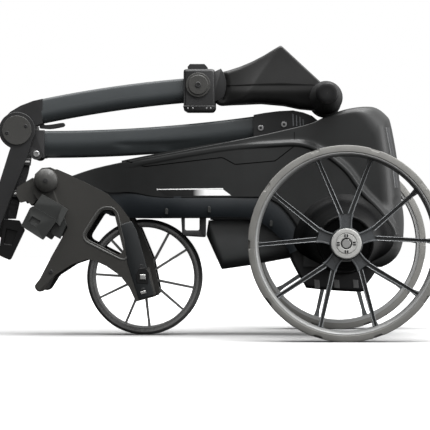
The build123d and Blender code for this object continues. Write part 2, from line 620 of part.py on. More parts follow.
with BuildPart() as tilt_pin:
    disc(TILT_PIVOT, 5, -COLLAR_HALF, 2 * COLLAR_HALF)
save(tilt_pin, "tilt_pin")

with BuildPart() as tilt_caps:
    for sign in (-1, 1):
        disc(TILT_PIVOT, 17.7, *hand(sign, COLLAR_HALF, COLLAR_HALF + 4))
        disc(TILT_PIVOT, 14, *hand(sign, COLLAR_HALF + 4, COLLAR_HALF + 6))
save(tilt_caps, "tilt_caps")

with BuildPart() as collar_tab:
    prism([(-224, 384), (-197, 384), (-195.5, 388), (-200, 393), (-221, 393), (-224.5, 389)], -14, 28)
save(collar_tab, "collar_tab")

# ---- handle -----------------------------------------------------------------------------
PART_LINE = 361.0
NECK_X = -183.5
NECK_PART = (-182.5, PART_LINE)
NECK_HALF = 16.9
NECK_BLOCK = [
    (-209, 350), (NECK_X + 8, 350), (NECK_X + 8, PART_LINE), (NECK_X, PART_LINE), (NECK_X, 373), (-209, 373),
]
FACE_START, FACE_END = (-89.0, 418.0), (-33.0, 366.0)
HANDLE_PLAN = mirrored([(-184, 21), (-150, 27), (-112, 44), (-98, 46), (-16, 46), (0, 38)])
HANDLE_TOP_SIDE = [
    NECK_PART, (-176.5, 380.5), (-159, 385.5), (-144, 391), (-118, 403), (-100, 412), FACE_START,
    FACE_END, (-28, PART_LINE),
]
HANDLE_BASE_SIDE = [
    NECK_PART, (-28, PART_LINE), (-16, 356), (-7.5, 342), (-13, 329), (-26, 325), (-62, 328),
    (-85, 333), (-118, 336), (-148, 335), (-177, 333), (NECK_X, 336),
]
HANDLE_WALL = 3.0
slope = hypot(FACE_END[0] - FACE_START[0], FACE_END[1] - FACE_START[1])
face_x = ((FACE_END[0] - FACE_START[0]) / slope, (FACE_END[1] - FACE_START[1]) / slope)
face_plane = Plane(
    origin=(AXLE_X + (FACE_START[0] + FACE_END[0]) / 2, 0, (FACE_START[1] + FACE_END[1]) / 2),
    x_dir=(face_x[0], 0, face_x[1]), z_dir=(-face_x[1], 0, face_x[0]),
)
LENS_AT, LENS_LONG, LENS_WIDE, LENS_THICK = -8.0, 44.0, 70.0, 2.0
BUTTON_AT, BUTTON_Y, BUTTON_R = 25.0, 24.0, 6.0
ACCESSORY_X, ACCESSORY_SEAT, ACCESSORY_DEPTH = -150.0, 384.0, 12.0


def upright(radius, low, high, mode=Mode.ADD):
    """A vertical cylinder at the accessory hole."""
    with BuildSketch(Plane(origin=(AXLE_X + ACCESSORY_X, 0, low))) as circle:
        Circle(radius)
    extrude(circle.sketch, amount=high - low, mode=mode)


with BuildPart() as handle_hollow:
    prism(HANDLE_TOP_SIDE[:-1] + HANDLE_BASE_SIDE[1:], -46, 92, inset=HANDLE_WALL)
    keep_plan(mirrored([(-180, 17), (-150, 23), (-112, 40), (-98, 42), (-45, 42)]))
    upright(11, ACCESSORY_SEAT - ACCESSORY_DEPTH - 2, 400, mode=Mode.SUBTRACT)

with BuildPart() as handle_top:
    prism(HANDLE_TOP_SIDE, -46, 92)
    keep_plan(HANDLE_PLAN)
    add(handle_hollow.part, mode=Mode.SUBTRACT)
    with BuildSketch(face_plane.offset(-LENS_THICK)) as lens_seat:
        with Locations((LENS_AT, 0)):
            Rectangle(LENS_LONG, LENS_WIDE)
    extrude(lens_seat.sketch, amount=LENS_THICK + 1, mode=Mode.SUBTRACT)
    with BuildSketch(face_plane.offset(-6)) as button_holes:
        with Locations((BUTTON_AT, -BUTTON_Y), (BUTTON_AT, BUTTON_Y)):
            Circle(BUTTON_R + SIDE_GAP)
    extrude(button_holes.sketch, amount=8, mode=Mode.SUBTRACT)
    # Sunk seat with a threaded hole for accessories on top of the neck.
    upright(8.5, ACCESSORY_SEAT, 400, mode=Mode.SUBTRACT)
    upright(3, ACCESSORY_SEAT - ACCESSORY_DEPTH, 400, mode=Mode.SUBTRACT)
save(handle_top, "handle_top")

with BuildPart() as display_lens:
    with BuildSketch(face_plane.offset(-LENS_THICK)) as lens:
        with Locations((LENS_AT, 0)):
            RectangleRounded(LENS_LONG, LENS_WIDE, 3)
    extrude(lens.sketch, amount=LENS_THICK - 0.4)
save(display_lens, "display_lens")

for sign, name in ((-1, "power_button"), (1, "menu_button")):
    with BuildPart() as face_button:
        with BuildSketch(face_plane.offset(-2.6)) as cap:
            with Locations((BUTTON_AT, sign * BUTTON_Y)):
                Circle(BUTTON_R)
        extrude(cap.sketch, amount=3.0)
    save(face_button, name)

DIAL_TILT = 45.0
dial_dir = (cos(radians(DIAL_TILT)), 0, sin(radians(DIAL_TILT)))
dial_plane = Plane(
    origin=(AXLE_X + GRIP_AXIS[0], 0, GRIP_AXIS[1]), x_dir=(0, 1, 0), z_dir=dial_dir,
)
DIAL_R, DIAL_BASE, DIAL_TOP = 12.5, 17.0, 23.0

with BuildPart() as handle_base:
    prism(HANDLE_BASE_SIDE, -46, 92)
    keep_plan(HANDLE_PLAN)
    add(handle_hollow.part, mode=Mode.SUBTRACT)
    disc(TILT_PIVOT, 14.5, -NECK_HALF, 2 * NECK_HALF)
    prism(NECK_BLOCK, -NECK_HALF, 2 * NECK_HALF)
    disc(TILT_PIVOT, 5 + RUNNING, -17, 34, mode=Mode.SUBTRACT)
    with BuildSketch(dial_plane.offset(DIAL_BASE - 0.3)) as dial_seat:
        Circle(DIAL_R + 3)
    extrude(dial_seat.sketch, amount=20, mode=Mode.SUBTRACT)
    with BuildSketch(dial_plane.offset(6)) as dial_bore:
        Circle(4 + RUNNING)
    extrude(dial_bore.sketch, amount=20, mode=Mode.SUBTRACT)
save(handle_base, "handle_base")

with BuildPart() as speed_dial:
    with BuildSketch(dial_plane.offset(DIAL_BASE)) as dial_disc:
        Circle(DIAL_R)
    extrude(dial_disc.sketch, amount=DIAL_TOP - DIAL_BASE)
    with BuildSketch(dial_plane.offset(7)) as dial_stem:
        Circle(4)
    extrude(dial_stem.sketch, amount=12)
    with BuildSketch(dial_plane.offset(DIAL_TOP - 2.5)) as button_well:
        Circle(5 + SIDE_GAP)
    extrude(button_well.sketch, amount=5, mode=Mode.SUBTRACT)
save(speed_dial, "speed_dial")

with BuildPart() as start_button:
    with BuildSketch(dial_plane.offset(DIAL_TOP - 1.2)) as start_cap:
        Circle(5)
    extrude(start_cap.sketch, amount=1.8)
save(start_button, "start_button")

GRIP_IN, GRIP_OUT = 46.0, 186.0
GRIP_PROFILE = [
    (GRIP_IN, 0), (GRIP_IN, 17), (50, 20.5), (62, 23.6), (70, 23.2), (110, 19.8), (150, 17.2),
    (GRIP_OUT, 15.6), (GRIP_OUT, 0),
]
with BuildPart() as grips:
    for sign in (-1, 1):
        lathe([(sign * y, r) for y, r in GRIP_PROFILE], GRIP_AXIS)
save(grips, "grips")

with BuildPart() as grip_caps:
    for sign in (-1, 1):
        cap_profile = [(GRIP_OUT, 0), (GRIP_OUT, 15.4), (189, 14.8), (190, 13), (190, 0)]
        lathe([(sign * y, r) for y, r in cap_profile], GRIP_AXIS)
save(grip_caps, "grip_caps")
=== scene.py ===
import json
from math import atan2, cos, dist, hypot, pi, radians, sin, sqrt

import bmesh
import bpy
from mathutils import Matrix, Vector
from mathutils.bvhtree import BVHTree


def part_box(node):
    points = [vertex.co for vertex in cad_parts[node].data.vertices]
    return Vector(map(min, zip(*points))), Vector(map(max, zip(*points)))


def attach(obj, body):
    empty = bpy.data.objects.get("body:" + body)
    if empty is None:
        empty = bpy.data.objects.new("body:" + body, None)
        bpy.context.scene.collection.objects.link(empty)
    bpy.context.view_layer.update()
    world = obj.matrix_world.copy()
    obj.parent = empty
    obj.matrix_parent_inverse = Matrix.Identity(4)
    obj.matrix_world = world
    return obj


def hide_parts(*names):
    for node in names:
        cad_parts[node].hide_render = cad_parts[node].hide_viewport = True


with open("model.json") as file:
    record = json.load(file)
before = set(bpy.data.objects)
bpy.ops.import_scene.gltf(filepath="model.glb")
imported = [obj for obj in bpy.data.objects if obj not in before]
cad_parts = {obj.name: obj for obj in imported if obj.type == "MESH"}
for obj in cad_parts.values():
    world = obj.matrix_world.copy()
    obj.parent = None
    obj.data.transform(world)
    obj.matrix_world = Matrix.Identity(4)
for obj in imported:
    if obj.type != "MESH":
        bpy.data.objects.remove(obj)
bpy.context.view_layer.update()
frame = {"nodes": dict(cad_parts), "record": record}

# Side outlines are (x, z) in millimetres with x from the rear axle, like the CAD's.
AXLE_X = 193.5
AXLE = (0, 133)
FRONT_WHEEL = (-287, 84)
SHAFT_PIVOT = (-60, 275)
MID_HINGE = (-470.3, 296)
FORK_PIVOT = (-425.6, 222.6)
TILT_PIVOT = (-208.7, 361.8)
GRIP_AXIS = (-24.5, 341.5)
HANDS = ((-1, "left"), (1, "right"))


def at(x, y, z):
    """A point in millimetres, x from the rear axle, in the row frame in metres."""
    return Vector(((AXLE_X + x) / 1000, y / 1000, z / 1000))


# ---- camera and light ----
scene = bpy.context.scene


def add_object(name, data):
    obj = bpy.data.objects.new(name, data)
    scene.collection.objects.link(obj)
    return obj


def aim(obj, place, target):
    obj.location = place
    obj.rotation_mode = "QUATERNION"
    obj.rotation_quaternion = (Vector(target) - Vector(place)).to_track_quat("-Z", "Y")


camera = add_object("camera", bpy.data.cameras.new("camera"))
aim(camera, at(-76.9, -4160, 142.8), at(-185.05, 0, 173.9))
camera.data.sensor_width = 36
camera.data.lens = 239.57
camera.data.clip_end = 100
scene.camera = camera
scene.view_settings.view_transform = "Standard"


def feed(tree, node, inputs):
    """Gives a node's sockets a value each, or a link from the output that stands for it."""
    for key, value in inputs.items():
        if isinstance(value, bpy.types.NodeSocket):
            tree.links.new(value, node.inputs[key])
        else:
            node.inputs[key].default_value = value


def add_node(tree, kind, inputs=None, **settings):
    made = tree.nodes.new("ShaderNode" + kind)
    for key, value in settings.items():
        setattr(made, key, value)
    feed(tree, made, inputs or {})
    return made


# The sky lights the part from dark to bright along one axis, and the camera itself sees white.
SKY_AXIS = Vector((0.5, -0.12, 0.86)).normalized()
SKY = ((0, 0.01), (0.42, 0.03), (0.52, 0.4), (0.66, 0.62), (0.82, 1.25), (1, 2))
WHITE = (1, 1, 1, 1)
world = bpy.data.worlds.new("studio")
scene.world = world
world.use_nodes = True
sky = world.node_tree
sky_light = sky.nodes["Background"]
sky_coords = add_node(sky, "TexCoord").outputs["Generated"]
sky_side = add_node(sky, "VectorMath", {0: sky_coords, 1: SKY_AXIS}, operation="DOT_PRODUCT")
sky_range = add_node(sky, "MapRange", {"From Min": -1, "Value": sky_side.outputs["Value"]})
sky_ramp = add_node(sky, "ValToRGB", {"Fac": sky_range.outputs["Result"]})
for place, level in SKY[1:-1]:
    sky_ramp.color_ramp.elements.new(place)
for stop, (place, level) in zip(sky_ramp.color_ramp.elements, SKY):
    stop.position = place
    stop.color = (level, level, level, 1)
feed(sky, sky_light, {"Color": sky_ramp.outputs["Color"], "Strength": 1})
sky_white = add_node(sky, "Background", {"Color": WHITE})
sky_mix = add_node(sky, "MixShader", {
    "Fac": add_node(sky, "LightPath").outputs["Is Camera Ray"],
    1: sky_light.outputs["Background"], 2: sky_white.outputs["Background"],
})
feed(sky, sky.nodes["World Output"], {"Surface": sky_mix.outputs["Shader"]})


def softbox(name, place, target, size, size_y, power):
    data = bpy.data.lights.new(name, "AREA")
    data.shape = "RECTANGLE"
    data.size, data.size_y = size, size_y
    data.energy = power
    lamp = add_object(name, data)
    aim(lamp, place, target)
    lamp.visible_camera = False


softbox("softbox_top", (0, -0.2, 2.3), (0, 0, 0), 2.6, 2, 95)
softbox("softbox_rear", (2.4, -1.3, 0.8), (0.1, 0, 0.2), 1.2, 1.6, 34)
softbox("softbox_left", (-1.6, -1.6, 2.6), (-0.1, 0, 0.2), 1, 1, 8)
softbox("softbox_front", (0.8, -1.8, 2.7), (0, 0, 0.2), 1.6, 0.8, 62)


# ---- materials ----
FINISHES = {}


def new_material(name):
    """A material with its node tree, its shader and its object coordinates."""
    mat = bpy.data.materials.new(name)
    mat.use_nodes = True
    tree = mat.node_tree
    return mat, tree, tree.nodes["Principled BSDF"], add_node(tree, "TexCoord").outputs["Object"]


def spread(tree, value, low, high, start=0, end=1, **settings):
    """Maps start to end onto low to high."""
    inputs = {"Value": value, "From Min": start, "From Max": end, "To Min": low, "To Max": high}
    return add_node(tree, "MapRange", inputs, **settings).outputs["Result"]


def mix(tree, factor, first, second):
    return add_node(tree, "Mix", {"Factor": factor, "A": first, "B": second}, data_type="RGBA").outputs["Result"]


def finish(name, colour, rough, specular=0.35, grain=1400, depth=0.25, mottle=0.18, metal=0, blotch=9, wear_and_edge_highlight=0):
    """Plastic, rubber, paint or metal with a fine grain, uneven tone and gloss, and lighter edges, partly wear and
    partly painted highlight.
    """
    mat, tree, shader, place = new_material(name)

    def noise(scale, detail):
        inputs = {"Vector": place, "Scale": scale, "Detail": detail, "Roughness": 0.62}
        return add_node(tree, "TexNoise", inputs).outputs["Fac"]

    def shade(gain, lift=0):
        return (*(min(1, c * gain + lift) for c in colour), 1)

    fine = noise(grain, 3)
    tone = mix(tree, spread(tree, noise(blotch, 6), 0, 1, 0.3, 0.7), shade(1 - mottle), shade(1 + mottle))
    # Convex edges are painted lighter, partly as wear and partly as a painted highlight where edges catch the light.
    if wear_and_edge_highlight:
        edge = spread(tree, add_node(tree, "NewGeometry").outputs["Pointiness"], 0, wear_and_edge_highlight, 0.53, 0.62)
        tone = mix(tree, edge, tone, shade(2.2, 0.02))
    gloss = add_node(tree, "Math", {
        0: spread(tree, fine, rough - 0.05, rough + 0.05),
        1: spread(tree, noise(60, 4), -0.03, 0.04, 0.3, 0.7),
    }, operation="ADD")
    bump = add_node(tree, "Bump", {"Strength": depth, "Distance": 0.0002, "Height": fine})
    feed(tree, shader, {
        "Base Color": tone, "Roughness": gloss.outputs["Value"], "Normal": bump.outputs["Normal"],
        "Specular IOR Level": specular, "Metallic": metal,
    })
    FINISHES[name] = mat
    return tree, shader, place


def webbing(name, colour, pitch):
    """Woven strap: ribs across the strap, and threads along it."""
    tree, shader, place = finish(name, colour, 0.82, 0.25, grain=2600, depth=0.5, mottle=0.3)
    inputs = {"Vector": place, "Scale": pitch, "Distortion": 0.6, "Detail": 1}
    ribs = add_node(tree, "TexWave", inputs, bands_direction="Z").outputs["Fac"]
    threads = shader.inputs["Normal"].links[0].from_socket
    woven = add_node(tree, "Bump", {"Strength": 0.8, "Distance": 0.0004, "Height": ribs, "Normal": threads})
    feed(tree, shader, {"Normal": woven.outputs["Normal"], "Sheen Weight": 0.25})


finish("shell_black", (0.0115, 0.012, 0.012), 0.38, 0.42, wear_and_edge_highlight=0.25, mottle=0.1)
finish("housing_black", (0.01, 0.01, 0.0105), 0.46, 0.35, wear_and_edge_highlight=0.2)
finish("trim_grey", (0.42, 0.44, 0.45), 0.3, 0.5, grain=700, depth=0.5)
finish("rail_black", (0.01, 0.0125, 0.015), 0.36, 0.45, wear_and_edge_highlight=0.3)
finish("steel", (0.52, 0.52, 0.51), 0.3, 0.5, metal=1, grain=500, depth=0.15)
finish("battery_black", (0.044, 0.046, 0.0465), 0.36, 0.4, depth=0.4)
finish("controller_grey", (0.07, 0.07, 0.07), 0.5)
finish("motor_case", (0.1, 0.1, 0.1), 0.4, metal=0.6)
finish("rear_tyre_grey", (0.156, 0.154, 0.145), 0.62, 0.3, mottle=0.14, depth=0.5, blotch=25)
finish("rear_rim_dark", (0.024, 0.026, 0.027), 0.26, 0.6, wear_and_edge_highlight=1)
finish("hub_grey", (0.31, 0.31, 0.3), 0.36, 0.45, wear_and_edge_highlight=0.3)
finish("front_tyre_dark", (0.075, 0.075, 0.074), 0.42, 0.45, depth=0.4)
finish("front_rim_grey", (0.2, 0.2, 0.198), 0.3, 0.5, metal=0.6, wear_and_edge_highlight=0.4)
finish("fork_black", (0.023, 0.0222, 0.02), 0.48, 0.36, wear_and_edge_highlight=0.7, depth=0.5, mottle=0.1)
finish("clip_black", (0.017, 0.018, 0.0172), 0.38, 0.42, wear_and_edge_highlight=0.5)
finish("tube_graphite", (0.028, 0.032, 0.0338), 0.4, 0.34, mottle=0.1, grain=900)
finish("hinge_black", (0.013, 0.013, 0.0135), 0.36, 0.42, wear_and_edge_highlight=0.4)
finish("cap_black", (0.034, 0.0335, 0.0315), 0.36, 0.42, wear_and_edge_highlight=0.4)
webbing("webbing_black", (0.006, 0.006, 0.0065), 180)
finish("handle_black", (0.0125, 0.0125, 0.0123), 0.34, 0.42, wear_and_edge_highlight=0.3)
finish("grip_rubber", (0.008, 0.008, 0.008), 0.55, 0.3, grain=900, depth=0.7)
finish("display_black", (0.004, 0.004, 0.005), 0.1, 0.5, depth=0.02)
finish("button_grey", (0.1, 0.1, 0.1), 0.45, 0.4)
# Shades of those finishes, for details and for some of the CAD nodes. The lighter greys for the rib crests, spoke arms
# and bracket ribs are painted highlights; the blacks for the axle cones and the grooves are painted shade.
finish("fork_dark", (0.0105, 0.012, 0.013), 0.36, 0.42, wear_and_edge_highlight=0.6)
finish("fork_edge", (0.045, 0.045, 0.043), 0.3, 0.5, wear_and_edge_highlight=0.6)
finish("rim_grey", (0.18, 0.182, 0.18), 0.32, 0.5, wear_and_edge_highlight=0.4)
# A lighter grey for the crests of the spoke ribs: a painted highlight.
finish("rib_grey", (0.15, 0.155, 0.16), 0.26, 0.6, wear_and_edge_highlight=0.4)
# A lighter grey for the spoke arms and the bracket ribs: a painted highlight.
finish("arm_grey", (0.046, 0.049, 0.052), 0.28, 0.6, wear_and_edge_highlight=0.8)
# A near-black with little gloss for the axle cones: painted shade for the dark well behind the hub.
finish("cone_black", (0.0022, 0.0023, 0.0024), 0.42, 0.1)
finish("collar_black", (0.0078, 0.0079, 0.0082), 0.36, 0.36, wear_and_edge_highlight=0.8)
# A black with hardly any reflection for the panel groove and seam strips: painted shade.
finish("gap_black", (0.0008, 0.0008, 0.0008), 0.8, 0.02, depth=0.05)
finish("reflector", (0.03, 0.031, 0.033), 0.24, 0.5, grain=500, depth=0.6)
finish("screw_steel", (0.3, 0.3, 0.3), 0.34, 0.5, metal=0.8, grain=500)
finish("ring_grey", (0.19, 0.19, 0.188), 0.26, 0.5, metal=0.5, wear_and_edge_highlight=0.4)
finish("strap_black", (0.003, 0.003, 0.0032), 0.34, 0.3, wear_and_edge_highlight=0.5)


def floor_paint():
    """Pale floor painted deeper in tone in the middle, a painted shade that deepens the contact shadows; further out it
    glows so that it reads white.
    """
    mat, tree, shader, place = new_material("floor_paint")
    ball = add_node(tree, "TexGradient", {"Vector": place}, gradient_type="SPHERICAL").outputs["Fac"]
    for socket, near, far in (("Base Color", 0.44, 0.86), ("Emission Strength", 0, 0.55)):
        feed(tree, shader, {socket: spread(tree, ball, far, near, 0.02, 0.6, interpolation_type="SMOOTHSTEP")})
    feed(tree, shader, {"Emission Color": WHITE, "Roughness": 0.9, "Specular IOR Level": 0.1})
    return mat


NODE_SLOT = {row["node"]: row["material_slot"] for row in frame["record"]["subparts"]}
NODE_PAINT = {
    "shaft_bracket": "collar_black", "collar": "collar_black",
    "strap_buckle": "strap_black", "bag_strap": "strap_black",
}
EDGE_MM = {
    "mid_clevis": 1.5, "upper_hinge": 2, "collar": 3, "shaft_bracket": 2, "drive_housing": 1.5,
    "fork_plate_left": 1.6, "fork_plate_right": 1.6, "frame_rail_left": 2, "frame_rail_right": 2,
    "bag_arms": 1.6, "battery_pack": 1.5, "cradle_lip": 1, "clip_lever_left": 0.9, "clip_lever_right": 0.9,
}
OTHER_EDGE_MM = 0.6


def bevel_edges(obj, width_mm, angle):
    edge = obj.modifiers.new("edge", "BEVEL")
    edge.width = width_mm / 1000
    edge.segments = 3
    edge.limit_method = "ANGLE"
    edge.angle_limit = radians(angle)
    obj.modifiers.new("shade", "WEIGHTED_NORMAL")


# The CAD nodes are tessellated: their flat faces are joined again before their sharp edges are rounded.
for name, obj in frame["nodes"].items():
    obj.material_slots[0].material = FINISHES[NODE_PAINT.get(name, NODE_SLOT[name])]
    obj.modifiers.new("weld", "WELD").merge_threshold = 0.00002
    flat = obj.modifiers.new("flat", "DECIMATE")
    flat.decimate_type = "DISSOLVE"
    flat.angle_limit = radians(0.8)
    bevel_edges(obj, EDGE_MM.get(name, OTHER_EDGE_MM), 32)


# ---- mesh helpers ----
def piece(name, points, faces, body, slot, replaces=(), sharp=35, bevel=0, paint=None):
    """A mesh from points in millimetres from the rear axle. It rides on a body and takes a slot's finish,
    or a shade of it named by paint."""
    mesh = bpy.data.meshes.new(name)
    mesh.from_pydata([at(*p) for p in points], [], faces)
    made = bmesh.new()
    made.from_mesh(mesh)
    bmesh.ops.remove_doubles(made, verts=made.verts, dist=0.00001)
    bmesh.ops.recalc_face_normals(made, faces=made.faces)
    made.to_mesh(mesh)
    made.free()
    mesh.shade_smooth()
    mesh.set_sharp_from_angle(angle=radians(sharp))
    mesh.materials.append(FINISHES[paint or slot])
    obj = add_object(name, mesh)
    if bevel:
        bevel_edges(obj, bevel, 30)
    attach(obj, body)
    if replaces:
        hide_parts(*replaces)
    return obj


def loops(name, rings, body, slot, replaces=(), sharp=35, ends=True, closed=False, paint=None):
    """A skin over rings of (x, y, z) points with equal counts."""
    count = len(rings[0])
    points = [p for ring in rings for p in ring]
    faces = []
    for row in range(len(rings) if closed else len(rings) - 1):
        here, there = row * count, (row + 1) % len(rings) * count
        for k in range(count):
            n = (k + 1) % count
            faces.append((here + k, here + n, there + n, there + k))
    if ends and not closed:
        faces += [tuple(range(count)), tuple(range(len(points) - count, len(points)))]
    return piece(name, points, faces, body, slot, replaces, sharp, paint=paint)


def both_ways(*half):
    """A symmetrical section from one half of it, given from the edge to the middle."""
    return [(-across, out) for across, out in half] + list(half[::-1])


def polar(centre, radius, angle):
    return centre[0] + radius * cos(angle), centre[1] + radius * sin(angle)


def lathe(name, profile, sign, centre, body, slot, replaces, segments, sharp, shape=None, paint=None):
    """A closed ring about an axis along Y from (y, radius) points, with y on the sign's side.
    shape(y, r, angle) may move a point in or out."""
    rings = []
    for step in range(segments):
        angle = 2 * pi * step / segments
        ring = []
        for y, r in profile:
            x, z = polar(centre, shape(sign * y, r, angle) if shape else r, angle)
            ring.append((x, sign * y, z))
        rings.append(ring)
    return loops(name, rings, body, slot, replaces, sharp, closed=True, paint=paint)


def slab(name, outline, y0, y1, body, slot, bevel, paint=None):
    """A side outline between two y values."""
    count = len(outline)
    points = [(x, y0, z) for x, z in outline] + [(x, y1, z) for x, z in outline]
    faces = [tuple(range(count)), tuple(range(2 * count - 1, count - 1, -1))]
    faces += [(k, (k + 1) % count, count + (k + 1) % count, count + k) for k in range(count)]
    return piece(name, points, faces, body, slot, (), 30, bevel, paint)


def smooth_line(points, spacing):
    """Points along a rounded version of a polyline, about one spacing apart."""
    ends = [points[0], *points, points[-1]]
    fine = []
    for k in range(1, len(ends) - 2):
        p0, p1, p2, p3 = ends[k - 1:k + 3]
        steps = max(2, round(dist(p1, p2) / spacing))
        for step in range(steps):
            t = step / steps
            fine.append(tuple(
                0.5 * (2 * b + (c - a) * t + (2 * a - 5 * b + 4 * c - d) * t * t + (3 * b - a - 3 * c + d) * t ** 3)
                for a, b, c, d in zip(p0, p1, p2, p3)))
    return fine + [points[-1]]


def rounded(points, radius, steps=5):
    """A closed polygon with its corners rounded. radius is one number or one for each corner."""
    made = []
    count = len(points)
    for k, corner in enumerate(points):
        r = radius[k] if isinstance(radius, (list, tuple)) else radius
        ends = []
        for other in (points[k - 1], points[(k + 1) % count]):
            dx, dz = other[0] - corner[0], other[1] - corner[1]
            run = hypot(dx, dz)
            reach = min(r, 0.48 * run)
            ends.append((corner[0] + dx / run * reach, corner[1] + dz / run * reach))
        for step in range(steps + 1):
            t = step / steps
            made.append(tuple(
                (1 - t) ** 2 * a + 2 * t * (1 - t) * b + t * t * c for a, b, c in zip(ends[0], corner, ends[1])))
    return made


def grown(outline, amount):
    """A closed outline moved outwards along its normals."""
    count = len(outline)
    area = sum(outline[k - 1][0] * outline[k][1] - outline[k][0] * outline[k - 1][1] for k in range(count))
    out = 1 if area > 0 else -1
    made = []
    for k, (x, z) in enumerate(outline):
        ahead, behind = outline[(k + 1) % count], outline[k - 1]
        dx, dz = ahead[0] - behind[0], ahead[1] - behind[1]
        run = hypot(dx, dz)
        made.append((x + out * amount * dz / run, z - out * amount * dx / run))
    return made


def plate(name, outline, y0, y1, body, slot, edge, paint=None):
    """A side outline between two distances from the centre plane, with a rounded edge on its outer face."""
    side = 1 if y1 > 0 else -1
    rings = []
    for y, inset, drop in ((y0, 0, 0), (y1, 0, edge), (y1, edge * 0.3, edge * 0.3), (y1, edge, 0)):
        rings.append([(x, y - side * drop, z) for x, z in (grown(outline, -inset) if inset else outline)])
    return loops(name, rings, body, slot, (), 50, paint=paint)


def along(points, share):
    """The point at a share of a polyline's length."""
    lengths = [dist(a, b) for a, b in zip(points, points[1:])]
    left = share * sum(lengths)
    for (a, b), length in zip(zip(points, points[1:]), lengths):
        if left <= length:
            t = left / length if length else 0
            return (a[0] + (b[0] - a[0]) * t, a[1] + (b[1] - a[1]) * t)
        left -= length
    return points[-1]


def shared_out(points, steps):
    """Points at equal steps along a polyline."""
    return [along(points, k / steps) for k in range(steps + 1)]


def heading(points, k):
    """The unit direction of a polyline at its point k."""
    ahead, behind = points[min(k + 1, len(points) - 1)], points[max(k - 1, 0)]
    dx, dz = ahead[0] - behind[0], ahead[1] - behind[1]
    run = hypot(dx, dz)
    return dx / run, dz / run


def line_at(points, x):
    """The second coordinate of a polyline at x."""
    for (x0, z0), (x1, z1) in zip(points, points[1:]):
        if min(x0, x1) <= x <= max(x0, x1) and x0 != x1:
            return z0 + (z1 - z0) * (x - x0) / (x1 - x0)
    return points[0][1] if x < points[0][0] else points[-1][1]


def from_line(points, x, z):
    """Signed distance from a polyline, positive on its left."""
    best = (1e9, 0)
    for (x0, z0), (x1, z1) in zip(points, points[1:]):
        dx, dz = x1 - x0, z1 - z0
        t = max(0, min(1, ((x - x0) * dx + (z - z0) * dz) / (dx * dx + dz * dz)))
        away = hypot(x - x0 - t * dx, z - z0 - t * dz)
        if away < best[0]:
            best = (away, dx * (z - z0) - dz * (x - x0))
    return best[0] if best[1] > 0 else -best[0]


def ease(value, low, high):
    t = max(0, min(1, (value - low) / (high - low)))
    return t * t * (3 - 2 * t)


def ribbon(name, path, width, thick, y_of, body, slot, lift, paint=None):
    """A strip laid on a side surface along a path of (x, z) points. y_of(x, z) is the surface's y."""
    points, faces = [], []
    for k, (x, z) in enumerate(path):
        dx, dz = heading(path, k)
        for side in (width / 2, -width / 2):
            px, pz = x - side * dz, z + side * dx
            y = y_of(px, pz)
            out = 1 if y > 0 else -1
            points += [(px, y + out * lift, pz), (px, y + out * (lift - thick), pz)]
    for a in range(0, len(points) - 4, 4):
        b = a + 4
        faces += [(a, a + 2, b + 2, b), (a + 1, b + 1, b + 3, a + 3)]
        faces += [(a, b, b + 1, a + 1), (a + 2, a + 3, b + 3, b + 2)]
    last = len(points) - 4
    faces += [(0, 1, 3, 2), (last, last + 2, last + 3, last + 1)]
    return piece(name, points, faces, body, slot, (), 40, paint=paint)


# Rings of a screw head: height and radius as shares of its own, and whether the ring is a hexagon.
SCREW_RINGS = ((0, 1, 0), (0.75, 1, 0), (1, 0.86, 0), (1, 0.55, 1), (0.35, 0.52, 1), (0.35, 0, 1))


def screw(name, centre, y, radius, body, slot, deep, paint=None):
    """A round head with a hex socket, on a face at y, that looks away from the centre plane."""
    out = 1 if y > 0 else -1
    rings = []
    for lift, share, hexed in SCREW_RINGS:
        ring = []
        for k in range(24):
            angle = 2 * pi * k / 24
            r = radius * share
            if hexed:
                r *= cos(pi / 6) / cos(angle % (pi / 3) - pi / 6)
            x, z = polar(centre, r, angle)
            ring.append((x, y + out * lift * deep, z))
        rings.append(ring)
    return loops(name, rings, body, slot, (), 30, ends=False, paint=paint)


# ---- rounded shells from two lines of the side view ----
def cumulative(line):
    total = [0]
    for a, b in zip(line, line[1:]):
        total.append(total[-1] + dist(a, b))
    return total


def dense_line(line, spacing):
    return shared_out(line, round(cumulative(line)[-1] / spacing))


def matched(outer, inner, anchors, spacing):
    """Pairs of points on two lines that run side by side, matched at the anchor pairs."""
    def share_of(line, target):
        nearest = min(range(len(line)), key=lambda k: dist(line[k], target))
        total = cumulative(line)
        return total[nearest] / total[-1]

    pairs = []
    long = cumulative(outer)[-1]
    shares = [(share_of(outer, a), share_of(inner, b)) for a, b in anchors]
    for (o0, i0), (o1, i1) in zip(shares, shares[1:]):
        steps = max(1, round((o1 - o0) * long / spacing))
        pairs += [(o0 + (o1 - o0) * k / steps, i0 + (i1 - i0) * k / steps) for k in range(steps)]
    pairs.append(shares[-1])
    return [(along(outer, o), along(inner, i)) for o, i in pairs]


ROUND_STEPS = 7


def skin_rows(pair, wide, radius, rows):
    """Points (x, y, z) down one side, rounded over at the outer line."""
    (ox, oz), (ix, iz) = pair
    length = max(0.5, dist(*pair))
    r = min(radius(ox), 0.6 * length)
    depths = [r * (1 - cos(k * pi / 2 / ROUND_STEPS)) for k in range(ROUND_STEPS + 1)]
    depths += [r + (length - r) * k / rows for k in range(1, rows + 1)]
    line = []
    for depth in depths:
        t = depth / length
        x, z = ox + (ix - ox) * t, oz + (iz - oz) * t
        cut = r - sqrt(max(0, r * r - (r - depth) ** 2)) if depth < r else 0
        line.append((x, wide(x, z) - cut, z))
    return line


